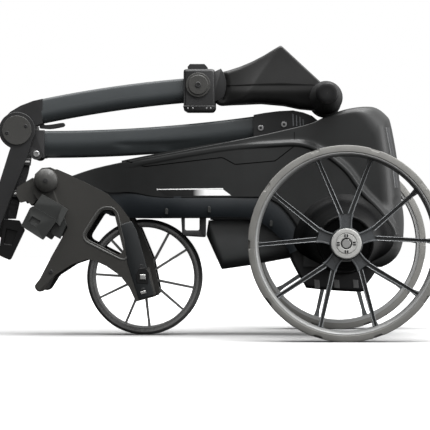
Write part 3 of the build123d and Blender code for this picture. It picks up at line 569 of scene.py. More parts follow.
def shell_piece(name, pairs, wide, radius, body, slot, replaces, rows=12, strip=4, floor=None, slot_half=0,
                caps=(False, False), thick=0, sharp=40):
    """Both sides and the band between them. floor(x, z) is the bottom of a slot of that half-width."""
    points, faces = [], []
    for pair in pairs:
        side = skin_rows(pair, wide, radius, rows)
        ox, oz = pair[0]
        top = side[0][1]
        half = min(slot_half, top - 1) if slot_half else 0
        band = [(ox, top + (half - top) * k / strip, oz) for k in range(1, strip + 1)]
        if slot_half:
            low = floor(ox, oz)
            band += [(ox, half - 0.01, low), (ox, half / 2, low)]
        left = [(x, -y, z) for x, y, z in reversed(side)] + [(x, -y, z) for x, y, z in band]
        right = band[::-1] + side
        points.append(left + (right if slot_half else right[1:]))
    count = len(points[0])
    flat = [p for row in points for p in row]
    for row in range(len(points) - 1):
        for k in range(count - 1):
            a, b = row * count + k, (row + 1) * count + k
            faces.append((a, a + 1, b + 1, b))
    for cap, row in zip(caps, (0, len(points) - 1)):
        if cap:
            for k in range(count // 2 - 1):
                a, b = row * count + k, row * count + count - 1 - k
                faces.append((a, a + 1, b - 1, b))
    obj = piece(name, flat, faces, body, slot, replaces, sharp)
    if thick:
        wall = obj.modifiers.new("wall", "SOLIDIFY")
        wall.thickness = thick / 1000
        wall.offset = -1
    return obj


SHELL_TOP = [
    (-392, 229.5), (-356, 241), (-303, 252), (-244, 262.5), (-130, 284), (-73.6, 296.5), (-45, 304),
    (-19.7, 316.3), (8.5, 325), (36, 328), (50, 325), (62, 315.5), (68, 304), (77, 255), (84, 195),
    (87.5, 167.5), (86, 137), (80, 119), (68, 105.5), (55, 99),
]
SHELL_BOTTOM = [
    (-369, 219), (-338, 206), (-302, 205.5), (-252.5, 198), (-120, 198), (-102, 194), (-82, 178),
    (-58, 140), (-58, 99),
]
LEDGE = smooth_line([
    (-400, 221), (-360, 233), (-303, 245.5), (-210, 262), (-154, 270), (-97, 274), (-70, 275), (-51, 272),
    (-33, 264), (-16, 254), (6, 235), (27, 206), (47, 185.5), (61, 168), (71, 149), (74, 120), (66, 105),
], 6)
SHELL_WIDE = smooth_line([
    (-395, 45), (-362, 50), (-330, 59), (-300, 69.5), (-270, 79.5), (-240, 87.5), (-210, 93), (-180, 96.2),
    (-150, 97.6), (-120, 98), (60, 98), (74, 95), (84, 89), (90, 76),
], 5)
CHANNEL_FLOOR = [
    (-330, 245), (-290, 254), (-200, 261), (-128, 268), (-100, 258), (-60, 258), (1, 262), (4, 280),
    (11, 299), (16, 316), (22, 332),
]
WELL_R = 55
WALL = 2.4
LOWER_INSET = 2.4


def shell_lower(x):
    """Half the body's width below the ledge."""
    return line_at(SHELL_WIDE, x) - LOWER_INSET


def ledge_step(x):
    """How much of the ledge's full step there is at x."""
    return 0.25 * ease(x, -170, -110) + 0.75 * ease(x, -80, -10)


def shell_wide(x, z):
    return shell_lower(x) - 5 * ease(from_line(LEDGE, x, z), 0.5, 8.5) * ledge_step(x)


def shell_radius(x):
    return 1.3 + 10 * ease(x, -50, 14) + 20 * ease(x, 18, 62)


def channel_floor(x, top):
    """The bottom of the channel that the folded shaft lies in, with a round well about its pivot."""
    if not CHANNEL_FLOOR[0][0] < x < CHANNEL_FLOOR[-1][0]:
        return top
    low = line_at(CHANNEL_FLOOR, x)
    if abs(x - SHAFT_PIVOT[0]) < WELL_R:
        low = min(low, SHAFT_PIVOT[1] - sqrt(WELL_R ** 2 - (x - SHAFT_PIVOT[0]) ** 2))
    return min(low, top)


shell_pairs = matched(smooth_line(SHELL_TOP, 4), smooth_line(SHELL_BOTTOM, 4), (
    ((-392, 229.5), (-369, 219)), ((-330, 247), (-338, 206)), ((-244, 262.5), (-252.5, 198)),
    ((-130, 284), (-120, 198)), ((-73.6, 296.5), (-102, 194)), ((8.5, 325), (-88, 183)), ((68, 304), (-74, 164)),
    ((84, 195), (-58, 140)), ((86, 137), (-58, 118)), ((55, 99), (-58, 99)),
), 3.5)
body_shell = shell_piece(
    "body_shell", shell_pairs, shell_wide, shell_radius, "chassis", "shell_black", ["upper_shell"],
    rows=52, strip=6, floor=channel_floor, slot_half=27, caps=(True, False), thick=WALL, sharp=50)


def on_shell(sign):
    return lambda x, z: sign * shell_wide(x, z)


# Raised strip along the ledge, with a rounded top: offsets across it and heights above the lower side.
LEDGE_SECTION = (
    (-5.2, -1.5), (-5, 0.1), (-4.2, 0.5), (-3.4, 1.5), (-2.6, 2.1), (-1.6, 2.3), (0.6, 2.3), (1.6, 2), (2.6, 1),
    (4.6, -1.2), (7.4, -4.4), (8.6, -5.2), (8.6, -7.5),
)
ledge_run = [p for p in dense_line(LEDGE, 3) if -318 < p[0] and not (p[0] > 40 and p[1] < 142)]
for sign, hand in HANDS:
    rings = []
    for k, (x, z) in enumerate(ledge_run):
        dx, dz = heading(ledge_run, k)
        ends = ease(k, 0, 12) * (1 - ease(k, len(ledge_run) - 12, len(ledge_run) - 1))
        taper = (0.3 + 0.7 * ease(x, -150, -85)) * ends
        ring = []
        for off, lift in LEDGE_SECTION:
            px, pz = x - dz * off, z + dx * off
            high = lift * taper if lift > 0 else (lift * ledge_step(x) - 0.3 if off > 3 else lift)
            ring.append((px, sign * (shell_lower(px) + high), pz))
        rings.append(ring)
    loops("ledge_strip_" + hand, rings, "chassis", "shell_black", (), 50)


PANEL_GROOVE = [
    (-320, 254), (-307, 250), (-284, 242.5), (-172, 255), (-154, 245), (-97, 250), (-70, 271),
]
seam = [(-70, 291 - 1.6 * k) for k in range(10)]
# The panel groove and the seam are thin strips laid on the shell and painted near-black, a painted shade for grooves
# that are not cut.
for sign, hand in HANDS:
    groove = shared_out(PANEL_GROOVE, 60)[2:]
    ribbon("panel_groove_" + hand, groove, 1.3, 0.8, on_shell(sign), "chassis", "housing_black", 0.12, "gap_black")
    ribbon("seam_" + hand, seam, 0.9, 0.6, on_shell(sign), "chassis", "housing_black", 0.1, "gap_black")

# Decal without lettering: a thin white line over a bar that fades from black to white.
DECAL_LINE = shared_out([(-266, 209.6), (-171, 210.6)], 24)
FADE_START, FADE_END = (AXLE_X - 214) / 1000, (AXLE_X - 197) / 1000
fade_tree, fade_shader, fade_place = finish("decal_fade", (0.85, 0.85, 0.85), 0.4, 0.4, mottle=0.02)
fade_x = add_node(fade_tree, "SeparateXYZ", {"Vector": fade_place}).outputs["X"]
fade_share = spread(fade_tree, fade_x, 0, 1, FADE_START, FADE_END)
fade = mix(fade_tree, fade_share, (0.008, 0.008, 0.008, 1), (0.86, 0.86, 0.86, 1))
feed(fade_tree, fade_shader, {"Base Color": fade})
finish("decal_white", (0.86, 0.86, 0.86), 0.4, 0.4, mottle=0.03)
for sign, hand in HANDS:
    ribbon("decal_line_" + hand, DECAL_LINE, 1.5, 0.3, on_shell(sign), "chassis", "trim_grey", 0.15, "decal_white")
    rings = []
    for k in range(25):
        top, low = (-265 + 94 * k / 24, 209.4), (-252 + 92.5 * k / 24, 200.9)
        front = [(top[0] + (low[0] - top[0]) * t, top[1] + (low[1] - top[1]) * t) for t in (0, 0.33, 0.67, 1)]
        ring = [(x, on_shell(sign)(x, z) + sign * 0.25, z) for x, z in front]
        rings.append(ring + [(x, on_shell(sign)(x, z) - sign * 0.3, z) for x, z in reversed(front)])
    loops("decal_bar_" + hand, rings, "chassis", "trim_grey", (), 40, paint="decal_fade")

# ---- rail covers, battery and housing ----
RAIL_UPPER = smooth_line([
    (-336, 204.5), (-302, 204), (-252.5, 197.5), (-120, 197.5), (-102, 193.5), (-82, 177.5), (-66, 152), (-60, 126),
], 5)
RAIL_LOWER = smooth_line([
    (-336, 173), (-300, 169.5), (-150, 170), (-120, 164), (-98, 148), (-82, 130), (-76, 118),
], 5)
RAIL_WIDE = smooth_line([
    (-336, 49), (-322, 54.5), (-290, 67.5), (-262, 78.5), (-240, 86.5), (-222, 90.3), (-200, 91.8), (-170, 92),
    (-120, 91.2), (-60, 90), (-40, 89),
], 5)
RAIL_ROWS = 12
RAIL_CLIPS = ((-252, 178.5), (-191, 181), (-103, 161))
rail_pairs = matched(RAIL_UPPER, RAIL_LOWER, (
    ((-336, 204.5), (-336, 173)), ((-252.5, 197.5), (-250, 169.6)), ((-120, 197.5), (-135, 168)),
    ((-82, 177.5), (-98, 148)), ((-60, 126), (-76, 118)),
), 5)
for sign, hand in HANDS:
    rings = []
    for (ux, uz), (lx, lz) in rail_pairs:
        ring = []
        for k in range(RAIL_ROWS + 1):
            t = k / RAIL_ROWS
            x, z = ux + (lx - ux) * t, uz + (lz - uz) * t
            bulge = 3.4 * max(0, sin(pi * (0.2 + t * 0.8))) ** 0.8
            ring.append((x, sign * (line_at(RAIL_WIDE, x) + 0.3 + bulge), z))
        ring += [(x, sign * (line_at(RAIL_WIDE, x) - 3), z) for x, z in ((lx, lz), (ux, uz))]
        rings.append(ring)
    loops("rail_cover_" + hand, rings, "chassis", "rail_black", (), 50)
    for number, (x, z) in enumerate(RAIL_CLIPS):
        clip = [(x - 2, z - 4), (x + 2, z - 4.5), (x + 2.4, z + 3), (x + 0.5, z + 4.6), (x - 1.8, z + 3.6)]
        y = line_at(RAIL_WIDE, x) + 3
        slab(f"rail_clip_{hand}_{number}", clip, sign * y, sign * (y + 1.8), "chassis", "clip_black", 0.5)

BATTERY_OUT = [(-192.5, 166), (-196, 145), (-174, 95.5), (-133, 101.4), (-76, 112)]
battery_pairs = matched(shared_out(BATTERY_OUT, 60), [(-190 + 114 * k / 60, 165.8) for k in range(61)], (
    ((-192.5, 166), (-190, 165.8)), ((-196, 145), (-186, 165.8)), ((-174, 95.5), (-160, 165.8)),
    ((-76, 112), (-76, 165.8)),
), 3)


def battery_wide(x, z):
    return 67.5 + 5.5 * sin(pi * max(0, min(1, (z - 96) / 74)))


shell_piece("battery_case", battery_pairs, battery_wide, lambda x: 16, "chassis", "battery_black", ["battery_pack"],
            caps=(False, True), sharp=45)

HOUSING_OUT = [
    (-75.5, 127.5), (-75.5, 111), (-55.5, 74), (-46, 68.6), (25, 64), (31, 72), (44, 90), (52, 110), (54, 140),
]
housing_pairs = matched(smooth_line(HOUSING_OUT, 2.5), [(-62 + 114 * k / 60, 140) for k in range(61)], (
    ((-75.5, 127.5), (-62, 140)), ((-75.5, 111), (-55, 140)), ((-46, 68.6), (-35, 140)), ((25, 64), (20, 140)),
    ((44, 90), (40, 140)), ((54, 140), (52, 140)),
), 3)
shell_piece("skid_box", housing_pairs, lambda x, z: 87.6, lambda x: 6, "chassis", "housing_black", ["drive_housing"],
            rows=10, thick=WALL)
for sign, hand in HANDS:
    for number, start in enumerate((-41, -13, 14)):
        vent = [(start, 69.5), (start + 7.6, 69), (start + 6.6, 81), (start - 1, 81.5)]
        slab(f"vent_{hand}_{number}", vent, sign * 86.5, sign * 88, "chassis", "button_grey", 0.5)

CONE = [
    (88, 72), (94, 72), (96, 70), (97.6, 67), (99.5, 63.5), (103, 60), (109, 57.4), (118, 55), (134, 52), (152, 49.4),
    (172, 46.6), (192, 44), (214, 41), (221, 40), (225, 38.6), (226, 36.6), (225.2, 34.6), (222, 33.4), (221, 14.4),
    (214, 14.3), (212, 33), (190, 38), (150, 44), (110, 50), (88, 58),
]


def flare(y, r, angle):
    """Under the axle the cone is slimmer, because the shell's side ends there."""
    if r < 34:
        return r
    low = 38 + 6.5 * (226 - abs(y)) / 138
    share = ease(-sin(angle), -0.1, 0.75)
    return r - max(0, r - low) * share


# The axle cones are painted near-black with little gloss, a painted shade for the well behind the hub.
for sign, hand in HANDS:
    lathe("axle_cone_" + hand, CONE, sign, AXLE, "chassis", "housing_black", ["axle_cones"], 128, 50, flare,
          "cone_black")

# ---- wheels ----
REAR_TREAD = [
    (245, 123.6), (245, 131.4), (245.6, 132.5), (247, 133), (253.4, 133), (254, 132.9), (263, 132.9), (263.4, 131.6),
    (265.4, 131.6), (265.8, 132.9), (279.2, 132.9), (279.6, 131.6), (281.6, 131.6), (282, 132.9), (291, 132.9),
    (291.6, 133), (298, 133), (299.4, 132.5), (300, 131.4), (300, 124.6), (299.2, 123.6),
]
TREAD_SIDES = (300, 245)
NOTCH_TURN, NOTCH_HALF = radians(1), radians(2.6)
REAR_RIM = [
    (247, 119), (247, 123.4), (299, 123.4), (299.3, 122.6), (298.4, 121), (296, 119.6), (290, 119), (274, 118.4),
    (258, 119),
]
HUB_BOSS = [
    (240, 6.2), (240, 19), (243, 20.4), (262, 21), (276, 22.5), (284, 22.5), (288, 21.2), (289, 20.2), (289, 6.2),
]
HUB_FACE = [
    (287, 7.6), (287, 20.6), (293.4, 20.6), (294.6, 19.4), (294.8, 15), (294.1, 14.4), (294.1, 13.6), (295, 13),
    (295, 8.2), (293.5, 7.6),
]
# Sections of the spokes: how far across, as a share of the half width, and |y|.
SPOKE_SECTION = both_ways((1, 268), (1, 283.2), (0.86, 284), (0.6, 284), (0.44, 283.4), (0.36, 279.5))
RIB_SECTION = ((0.62, 283.6), (0.68, 284.35), (0.8, 284.55), (0.9, 284.3), (0.96, 283.6))
ARM_SECTION = both_ways((1, 268), (1, 283), (0.93, 284), (0.8, 284), (0.72, 283.2), (0.66, 281.4))
ARM_ROWS = ((18, 8.6), (25, 8.2), (31, 8.6), (35, 9.4), (39.5, 11))
ARM_TURN = 19.2
ARM_R, RIM_R = 40, 119.4


def tyre_shape(y, r, angle):
    """Cuts the ten shoulder notches and the fine cross grooves of the tread."""
    if r < 130:
        return r
    near = (angle - NOTCH_TURN + pi / 10) % (pi / 5) - pi / 10
    shoulder = min(abs(abs(y) - side) for side in TREAD_SIDES)
    if abs(near) < NOTCH_HALF and shoulder < 8.5:
        return r - 2.4
    if 9 < shoulder and int(angle / radians(1.5)) % 4 == 0:
        return r - 0.7
    return r


def spoke_piece(name, inner, outer, sign, section, rows, sharp, paint=None):
    """A skin along a line of the side view. rows gives shares of its length and half widths there."""
    dx, dz = outer[0] - inner[0], outer[1] - inner[1]
    run = hypot(dx, dz)
    rings = []
    for t, half in rows:
        rings.append([
            (inner[0] + dx * t - dz / run * across * half, sign * y, inner[1] + dz * t + dx / run * across * half)
            for across, y in section])
    return loops(name, rings, "rear_wheels", "rear_rim_dark", (), sharp, paint=paint)


spoke_rows = [(k / 8, 3.5 - 0.8 * k / 8 + 1.6 * ease(k / 8, 0.9, 1)) for k in range(9)]
for sign, hand in HANDS:
    lathe("tread_" + hand, REAR_TREAD, sign, AXLE, "rear_wheels", "rear_tyre_grey", ["rear_tyres"], 480, 30, tyre_shape)
    lathe("rim_" + hand, REAR_RIM, sign, AXLE, "rear_wheels", "rear_rim_dark", ["rear_rims"], 160, 30, None, "rim_grey")
    for arm in range(5):
        tilt = radians(ARM_TURN + 72 * arm)
        for turn, letter in ((-1, "a"), (1, "b")):
            inner = polar(AXLE, ARM_R, tilt + radians(8.6 * turn))
            outer = polar(AXLE, RIM_R, tilt + radians(17.6 * turn))
            spoke_name = f"spoke_{hand}_{arm}_{letter}"
            spoke_piece(spoke_name, inner, outer, sign, SPOKE_SECTION, spoke_rows, 35)
            # The rounded crests of the spoke's two ribs, painted a lighter grey as a painted highlight.
            for edge, rib_letter in ((-1, "a"), (1, "b")):
                section = [(edge * across, y) for across, y in RIB_SECTION]
                rows = [(t, 3.5 - 0.8 * t) for t in (0.02, 0.25, 0.5, 0.75, 0.985)]
                spoke_piece(f"{spoke_name}_rib_{rib_letter}", inner, outer, sign, section, rows, 60, "rib_grey")
        # The broad foot of the two spokes, with a sunk trapezoid between two edges, painted a lighter grey as a painted
        # highlight.
        spoke_piece(f"spoke_arm_{hand}_{arm}", AXLE, polar(AXLE, 1, tilt), sign, ARM_SECTION, ARM_ROWS, 35, "arm_grey")
    lathe("hub_boss_" + hand, HUB_BOSS, sign, AXLE, "rear_wheels", "rear_rim_dark", ["rear_spokes"], 72, 30)
    lathe("hub_face_" + hand, HUB_FACE, sign, AXLE, "rear_wheels", "hub_grey", ["hub_caps"], 72, 30)
    for quarter in range(4):
        turn = quarter * pi / 2 + 0.02
        for offset, letter in ((-1.6, "a"), (1.6, "b")):
            mark = [
                (AXLE[0] + (10.8 + u) * cos(turn) - (offset + v) * sin(turn),
                 AXLE[1] + (10.8 + u) * sin(turn) + (offset + v) * cos(turn))
                for u, v in ((-1.9, -0.95), (1.9, -0.95), (1.9, 0.95), (-1.9, 0.95))]
            slab(f"hub_mark_{hand}_{quarter}_{letter}", mark, sign * 294.4, sign * 295.5,
                 "rear_wheels", "hinge_black", 0.1)

FRONT_TREAD = both_ways(
    (17.6, 77.2), (18.6, 79.6), (17.8, 80.9), (15, 82.6), (11.6, 83.5), (10.9, 82.7), (9.9, 82.7), (9.2, 83.8),
    (3.4, 84), (2.9, 83.1),
)
FRONT_RIM = both_ways(
    (17.8, 72), (18.8, 72.6), (19, 74), (18.2, 74.8), (18.2, 75.4), (18.9, 75.9), (18.6, 79), (17, 79.6),
)
lathe("front_rim_ring", FRONT_RIM, 1, FRONT_WHEEL, "front_wheel", "front_rim_grey", ["front_rim"], 144, 30, None,
      "ring_grey")
lathe("front_tread", FRONT_TREAD, 1, FRONT_WHEEL, "front_wheel", "front_tyre_dark", ["front_tyre"], 144, 30)

# ---- handle ----
HANDLE_CREST = [
    (-182.5, 361.4), (-176.8, 380.4), (-164, 383.3), (-147, 388.6), (-130, 395.4), (-113, 404), (-99.5, 412.2),
    (-89, 418), (-33, 366), (-28.4, 361.4),
]
HANDLE_KEEL = [
    (-182.5, 360.6), (-183.5, 336), (-177, 333), (-148, 335), (-118, 336), (-85, 333), (-62, 328), (-26, 325),
    (-13, 329), (-7.5, 342), (-16, 355.6), (-28, 360.6),
]
HANDLE_START = -183.5
# Within this radius of the tilt axis the handle is narrow enough to turn between the neck guards.
GUARD_R = 41
NECK_WIDE = 22.2


def handle_wide(x, z):
    """The flat cheek stands behind a crease from the crest to the neck, and the neck narrows before it."""
    crease = -89 - 52 * max(0, min(1.25, (418 - z) / 75))
    share = max(0, min(1, (x - HANDLE_START) / (crease - HANDLE_START)))
    cheek = 44.5 + 1.5 * ease(z, 400, 345)
    wide = 21.5 + (cheek - 21.5) * share ** 1.25
    beyond = dist((x, z), TILT_PIVOT) - GUARD_R
    return min(wide - 6 * ease(x, -14, -4), NECK_WIDE + 1.3 * max(0, beyond))


def tray_wide(x, z):
    """Below the part line the side leans in towards the keel."""
    return handle_wide(x, z) - 0.5 - 9 * (1 - ease(z, 328, 354)) * ease(x, -182, -160)


def crest_radius(x):
    return 1 + (5 - 3 * ease(x, -150, -110)) * ease(x, -184, -168)


def keel_radius(x):
    return 5 + 8 * ease(x, -170, -120) - 8 * ease(x, -60, -20)


crest_pairs = matched(dense_line(HANDLE_CREST, 3), dense_line([(-182.5, 360.2), (-28.4, 360.2)], 3), (
    (HANDLE_CREST[0], (-182.5, 360.2)), ((-176.8, 380.4), (-178, 360.2)), ((-113, 404), (-116, 360.2)),
    ((-89, 418), (-90, 360.2)), (HANDLE_CREST[-1], (-28.4, 360.2)),
), 2.5)
shell_piece("handle_cover", crest_pairs, handle_wide, crest_radius, "handle", "handle_black", ["handle_top"],
            rows=14, strip=5, thick=2.2, sharp=30)
keel_pairs = matched(dense_line(HANDLE_KEEL, 3), dense_line([(-182.5, 363), (-28, 363)], 3), (
    (HANDLE_KEEL[0], (-182.5, 363)), ((-183.5, 336), (-180, 363)), ((-118, 336), (-120, 363)),
    ((-62, 328), (-70, 363)), ((-26, 325), (-50, 363)), ((-7.5, 342), (-38, 363)), (HANDLE_KEEL[-1], (-28, 363)),
), 2.5)
shell_piece("handle_tray", keel_pairs, tray_wide, keel_radius, "handle", "handle_black", ["handle_base"],
            strip=5, thick=2.2)

GRIP = [
    (46, 14), (46, 19.5), (47.5, 21.5), (58, 23.2), (60.6, 23.6), (61.2, 23.9), (62.6, 23.9), (63.2, 23.4), (70, 22.9),
    (90, 21.3), (110, 19.7), (130, 18.3), (150, 17.2), (170, 16.4), (184, 15.9), (186, 15.4), (186, 12),
]
GRIP_END = [
    (182, 0.4), (182, 15.2), (186.6, 15.2), (186.9, 14.7), (187.5, 14.7), (188.8, 14.2), (189.5, 12.8), (189.8, 9),
    (189.8, 0.4),
]


def finger_ribs(y, r, angle):
    if r <= 15.5:
        return r
    return r - 0.35 * (0.5 - 0.5 * cos(angle * 48)) * ease(abs(y), 64, 74) * (1 - ease(abs(y), 176, 184))


grip_line = GRIP[:1]
for (y0, r0), (y1, r1) in zip(GRIP, GRIP[1:]):
    steps = max(1, round(abs(y1 - y0) / 5))
    grip_line += [(y0 + (y1 - y0) * k / steps, r0 + (r1 - r0) * k / steps) for k in range(1, steps + 1)]
for sign, hand in HANDS:
    lathe("grip_" + hand, grip_line, sign, GRIP_AXIS, "handle", "grip_rubber", ["grips"], 192, 40, finger_ribs)
    lathe("grip_end_" + hand, GRIP_END, sign, GRIP_AXIS, "handle", "grip_rubber", ["grip_caps"], 96, 30, None,
          "strap_black")


# ---- rear reflectors ----
REFLECTOR_EDGE = ((212, 82), (255, 77), (305, 67.7))
REFLECTOR_SECTION = ((0, -1.2), (0, 0.2), (0.12, 0.6), (0.5, 0.8), (0.88, 0.6), (1, 0.2), (1, -1.2))
skin = BVHTree.FromPolygons([v.co for v in body_shell.data.vertices], [p.vertices for p in body_shell.data.polygons])
for sign, hand in HANDS:
    rings = []
    for step in range(31):
        z = 212 + 86 * step / 30
        ring = []
        for across, out in REFLECTOR_SECTION:
            start = at(line_at(REFLECTOR_EDGE, z) - 9 + 5.4 * across, sign * 140, z)
            hit, normal, _, _ = skin.ray_cast(start, Vector((0, -sign, 0)))
            normal = normal if normal.y * sign > 0 else -normal
            ring.append(tuple(c * 1000 for c in hit + normal * out / 1000 - at(0, 0, 0)))
        rings.append(ring)
    loops("reflector_" + hand, rings, "chassis", "trim_grey", ["rear_reflectors"], 50, paint="reflector")


# ---- towing eye under the frame ----
EYE_HOLE = rounded([(-226, 171.5), (-205, 171.5), (-205, 151.5), (-226, 151.5)], 3)
EYE_RIM = rounded([(-231.5, 175.5), (-195.5, 175.5), (-196, 141.5), (-229.5, 143.5)], 3)
eye_low, eye_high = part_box("loop_bracket")
# Shares of the way from the hole to the rim, and how far the face is set in there.
EYE_EDGE = ((0, 0.9), (0.2, 0), (0.85, 0), (1, 1.2))
rings = []
for y, side, edge in ((eye_low[1] * 1000, 1, EYE_EDGE), (eye_high[1] * 1000, -1, EYE_EDGE[::-1])):
    for share, inset in edge:
        rings.append([(a + (c - a) * share, y + side * inset, b + (d - b) * share)
                      for (a, b), (c, d) in zip(EYE_HOLE, EYE_RIM)])
loops("towing_eye", rings, "chassis", NODE_SLOT["loop_bracket"], ["loop_bracket"], 35, closed=True,
      paint="housing_black")

# ---- display, screws and small plates ----
FACE_START, FACE_END = (-89, 418), (-33, 366)
face_x = heading((FACE_START, FACE_END), 0)
face_mid = ((FACE_START[0] + FACE_END[0]) / 2, (FACE_START[1] + FACE_END[1]) / 2)


def on_face(u, y, lift):
    """A point on the handle's display face: u runs down the slope and lift stands off it."""
    return (face_mid[0] + face_x[0] * u - face_x[1] * lift, y, face_mid[1] + face_x[1] * u + face_x[0] * lift)


def face_panel(name, centre, half, corner, low, high, slot, replaces=()):
    """A rounded rectangle on the display face, with an edge that is bevelled towards its top."""
    outline = []
    for turn in range(4):
        side, end = 1 if turn in (0, 3) else -1, 1 if turn in (0, 1) else -1
        middle = ((half[0] - corner) * side, (half[1] - corner) * end)
        outline += [polar(middle, corner, turn * pi / 2 + step * pi / 12) for step in range(7)]
    rings = []
    for lift, grow in ((low, 0), (high - 0.25, 0), (high, -0.25)):
        size = 1 + grow / max(half)
        rings.append([on_face(centre[0] + u * size, centre[1] + v * size, lift) for u, v in outline])
    return loops(name, rings, "handle", slot, replaces, 30)


face_panel("display_window", (-8, 0), (22, 35), 4, -1.6, -0.1, "display_black", ["display_lens"])
face_panel("display_area", (-8, 0), (15, 26), 2, -0.5, 0, "display_black")

BRACKET_SCREWS = ((-118.3, 299.6), (-84.7, 304.6))
BRACKET_RIBS = ((-72, 319.5), (-67, 318), (-62, 315.5), (-57.5, 312))
FORK_SCREWS = ((-289, 100), (-286.5, 66), (-419, 92), (-427.5, 229))
AXLE_END = [(-291.5, 80.5), (-282.5, 80.5), (-282.5, 88.5), (-291.5, 88.5)]
AXLE_SEAT = [(-296, 76), (-279, 74), (-278, 90), (-283, 98), (-292, 97), (-297, 89)]
TOE_SLOT = [(-289.5, 59), (-281.5, 61.4), (-282.7, 65.8), (-290.7, 63.4)]
for sign, hand in HANDS:
    screw("tilt_screw_" + hand, TILT_PIVOT, sign * 32, 4.2, "upper_shaft", "hinge_black", 1.4)
    for number, spot in enumerate(BRACKET_SCREWS):
        screw(f"bracket_screw_{hand}_{number}", spot, sign * 24, 4.2, "lower_shaft", "steel", 1.8, "screw_steel")
        screw(f"bracket_socket_{hand}_{number}", spot, sign * 25, 1.9, "lower_shaft", "hinge_black", 0.9)
    # The bracket ribs are painted a lighter grey as a painted highlight.
    for number, (x, top) in enumerate(BRACKET_RIBS):
        rib = [(x, 302), (x + 1.8, 302), (x + 1.2, top), (x - 0.6, top)]
        slab(f"bracket_rib_{hand}_{number}", rib, sign * 23.4, sign * 25, "lower_shaft", "steel", 0.4, "arm_grey")
    for number, turn in enumerate((24, 195)):
        spot = polar(MID_HINGE, 14.5, radians(turn))
        screw(f"hinge_rivet_{hand}_{number}", spot, sign * 41, 2.6, "lower_shaft", "hinge_black", 0.8)
    screw("latch_screw_" + hand, (-442.5, 262), sign * 33.5, 4.6, "lower_shaft", "steel", 1.6, "screw_steel")
    screw("pivot_screw_" + hand, FORK_PIVOT, sign * 75.6, 3.6, "front_fork", "hinge_black", 0.8)
    for number, spot in enumerate(FORK_SCREWS):
        screw(f"fork_screw_{hand}_{number}", spot, sign * 63, 3, "front_fork", "hinge_black", 1.2)
    slab("axle_end_" + hand, AXLE_END, sign * 62, sign * 66.5, "front_fork", "steel", 1.2)
    slab("axle_seat_" + hand, AXLE_SEAT, sign * 62, sign * 64.6, "front_fork", "fork_black", 0.8, "strap_black")
    slab("toe_slot_" + hand, TOE_SLOT, sign * 62, sign * 64.6, "front_fork", "steel", 0.8)

# ---- bag strap ----
STRAP_PATH = smooth_line([
    (-459.5, 262.5), (-457.5, 255), (-459.5, 238), (-465.5, 218), (-471, 200), (-475.5, 184), (-478, 169.5),
], 3)


def strap_y(x, z):
    return -32 + 0.5 * sin(z / 11)


ribbon("strap_webbing", STRAP_PATH, 12.6, 1.4, strap_y, "lower_shaft", "webbing_black", 0.8)
for number, share in enumerate((0.12, 0.62)):
    x, z = along(STRAP_PATH, share)
    slider = [(x - 8.2, z - 5.5), (x + 7.2, z - 6.5), (x + 8.4, z + 4), (x - 7, z + 5.2)]
    slab(f"strap_slider_{number}", slider, -33, -36.2, "lower_shaft", "hinge_black", 1.2)
    bar_line = [(x - 5.2, z - 1.8), (x + 5.4, z - 2.6), (x + 5.8, z + 0.2), (x - 4.8, z + 1)]
    slab(f"strap_slider_bar_{number}", bar_line, -36, -37.2, "lower_shaft", "steel", 0.5)


# ---- shaft tubes ----
def arc_points(a, b, c, steps):
    """Points and unit tangents along the arc through three points of the side view."""
    (ax, az), (bx, bz), (cx, cz) = a, b, c
    d = 2 * (ax * (bz - cz) + bx * (cz - az) + cx * (az - bz))
    a2, b2, c2 = ax * ax + az * az, bx * bx + bz * bz, cx * cx + cz * cz
    mx = (a2 * (bz - cz) + b2 * (cz - az) + c2 * (az - bz)) / d
    mz = (a2 * (cx - bx) + b2 * (ax - cx) + c2 * (bx - ax)) / d
    radius = hypot(ax - mx, az - mz)
    first, last = atan2(az - mz, ax - mx), atan2(cz - mz, cx - mx)
    last -= 2 * pi * round((last - first) / (2 * pi))
    turn = 1 if last > first else -1
    for step in range(steps + 1):
        angle = first + (last - first) * step / steps
        yield (mx + radius * cos(angle), mz + radius * sin(angle)), (-turn * sin(angle), turn * cos(angle))


def tube_skin(name, arc, half_depth, half_top, crease, half_crease, half_bottom, node, body, scoop):
    """A tube along an arc, with a crease at a height of its side. scoop(x, v) dents the side."""
    corners = [
        (-half_top, half_depth), (half_top, half_depth), (half_crease, crease), (half_bottom, -half_depth),
        (-half_bottom, -half_depth), (-half_crease, crease),
    ]
    section = rounded(corners, [4.5, 4.5, 7, 5, 5, 7], 6)
    rings = []
    for (x, z), (tx, tz) in arc_points(*arc, 64):
        rings.append([(x - tz * v, y - scoop(x, v) * (1 if y > 0 else -1), z + tx * v) for y, v in section])
    return loops(name, rings, body, "tube_graphite", [node], 60)


def lower_scoop(x, v):
    """A shallow scallop that widens to the rear from a point."""
    reach = max(0, min(1, (x + 336) / 90))
    across = 1 - ease(abs(v + 2 + 9 * reach), 5 * reach, 5 * reach + 3.5)
    return 1.5 * ease(x, -337, -315) * (1 - ease(x, -260, -170)) * across


tube_skin("lower_tube_skin", ((-431.5, 276.5), (-283, 281.5), (-112, 299.5)), 19.4, 17, -1.5, 19.8, 11.5,
          "lower_tube", "lower_shaft", lower_scoop)
tube_skin("upper_tube_skin", ((-437, 324.5), (-335, 342.5), (-229.4, 354.5)), 17.4, 15.2, -7.5, 18.8, 11.5,
          "upper_tube", "upper_shaft", lambda x, v: 0)

# ---- fork details ----
FORK_WINDOW = rounded([(-372, 141), (-346.5, 181), (-328.5, 181), (-311, 110)], 10)
FORK_ARM = rounded([
    (-319, 159.5), (-303, 165), (-296, 152), (-288.5, 126), (-270.5, 58.5), (-292.5, 52), (-309, 104), (-313.5, 136),
], [3, 3, 4, 6, 2, 2, 6, 6])
TOE_END = rounded([(-430, 88), (-443.5, 71), (-437.5, 62.6), (-428.5, 64.5), (-416, 84)], [3, 4.5, 4.5, 4, 3], 6)
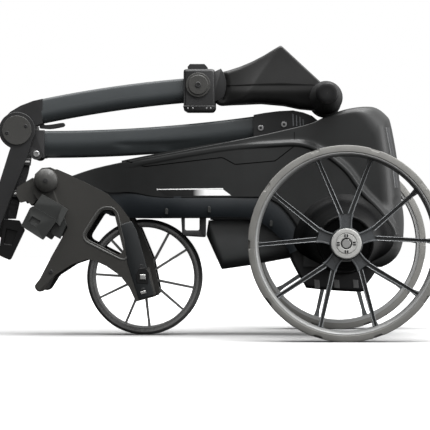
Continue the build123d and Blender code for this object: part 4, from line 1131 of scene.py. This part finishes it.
# How far the window's rim stands out from the opening, and its |y|.
WINDOW_RIM = (
    (-0.8, 57.6), (-0.8, 60.6), (-0.2, 61.6), (3.2, 63.7), (4.2, 63.8), (4.8, 63.4), (4.8, 62.6), (0.4, 57.6),
)
for sign, hand in HANDS:
    rings = [[(x, sign * y, z) for x, z in grown(FORK_WINDOW, away)] for away, y in WINDOW_RIM]
    plate("toe_end_" + hand, TOE_END, sign * 56.5, sign * 62.6, "front_fork", "fork_black", 1.2)
    loops("fork_window_rim_" + hand, rings, "front_fork", "fork_black", (), 40, closed=True, paint="fork_edge")
    plate("fork_arm_" + hand, FORK_ARM, sign * 62, sign * 64, "front_fork", "fork_black", 1, "fork_dark")


# ---- collar ----
COLLAR_FACE = rounded([(-230, 385), (-184, 385), (-184, 325.5), (-230, 325.5)], [5, 6, 4, 4])
LIP_FACE = rounded([(-231, 332), (-184, 332), (-186, 323.5), (-228, 323.5)], [2, 2, 4, 4], 4)
NECK_GUARD = [
    (-190, 379), *(polar(TILT_PIVOT, GUARD_R - 0.5, radians(turn)) for turn in range(36, -29, -3)), (-190, 335.5),
]
COLLAR_PLATES = (  # outline, inner and outer |y|, edge
    ("collar_cheek_", COLLAR_FACE, 19.5, 26.8, 3.6), ("collar_lip_", LIP_FACE, 20.5, 28, 1.4),
    ("neck_guard_", NECK_GUARD, 22.5, 24.6, 0.6),
)
for sign, hand in HANDS:
    for name, outline, y0, y1, edge in COLLAR_PLATES:
        plate(name + hand, outline, sign * y0, sign * y1, "upper_shaft", "hinge_black", edge, "collar_black")
    for number, x in enumerate((-223.5, -216.5, -196.5, -190.5)):
        screw(f"collar_dot_{hand}_{number}", (x, 328), sign * 27.9, 1.2, "upper_shaft", "steel", 0.5, "screw_steel")

# ---- floor ----
FLOOR_HALF = 14
floor_mesh = bpy.data.meshes.new("floor")
corners = [(x * FLOOR_HALF, y * FLOOR_HALF, 0) for x, y in ((-1, -1), (1, -1), (1, 1), (-1, 1))]
floor_mesh.from_pydata(corners, [], [(0, 1, 2, 3)])
floor_mesh.materials.append(floor_paint())
floor = add_object("floor", floor_mesh)
floor.visible_diffuse = False
floor.visible_glossy = False
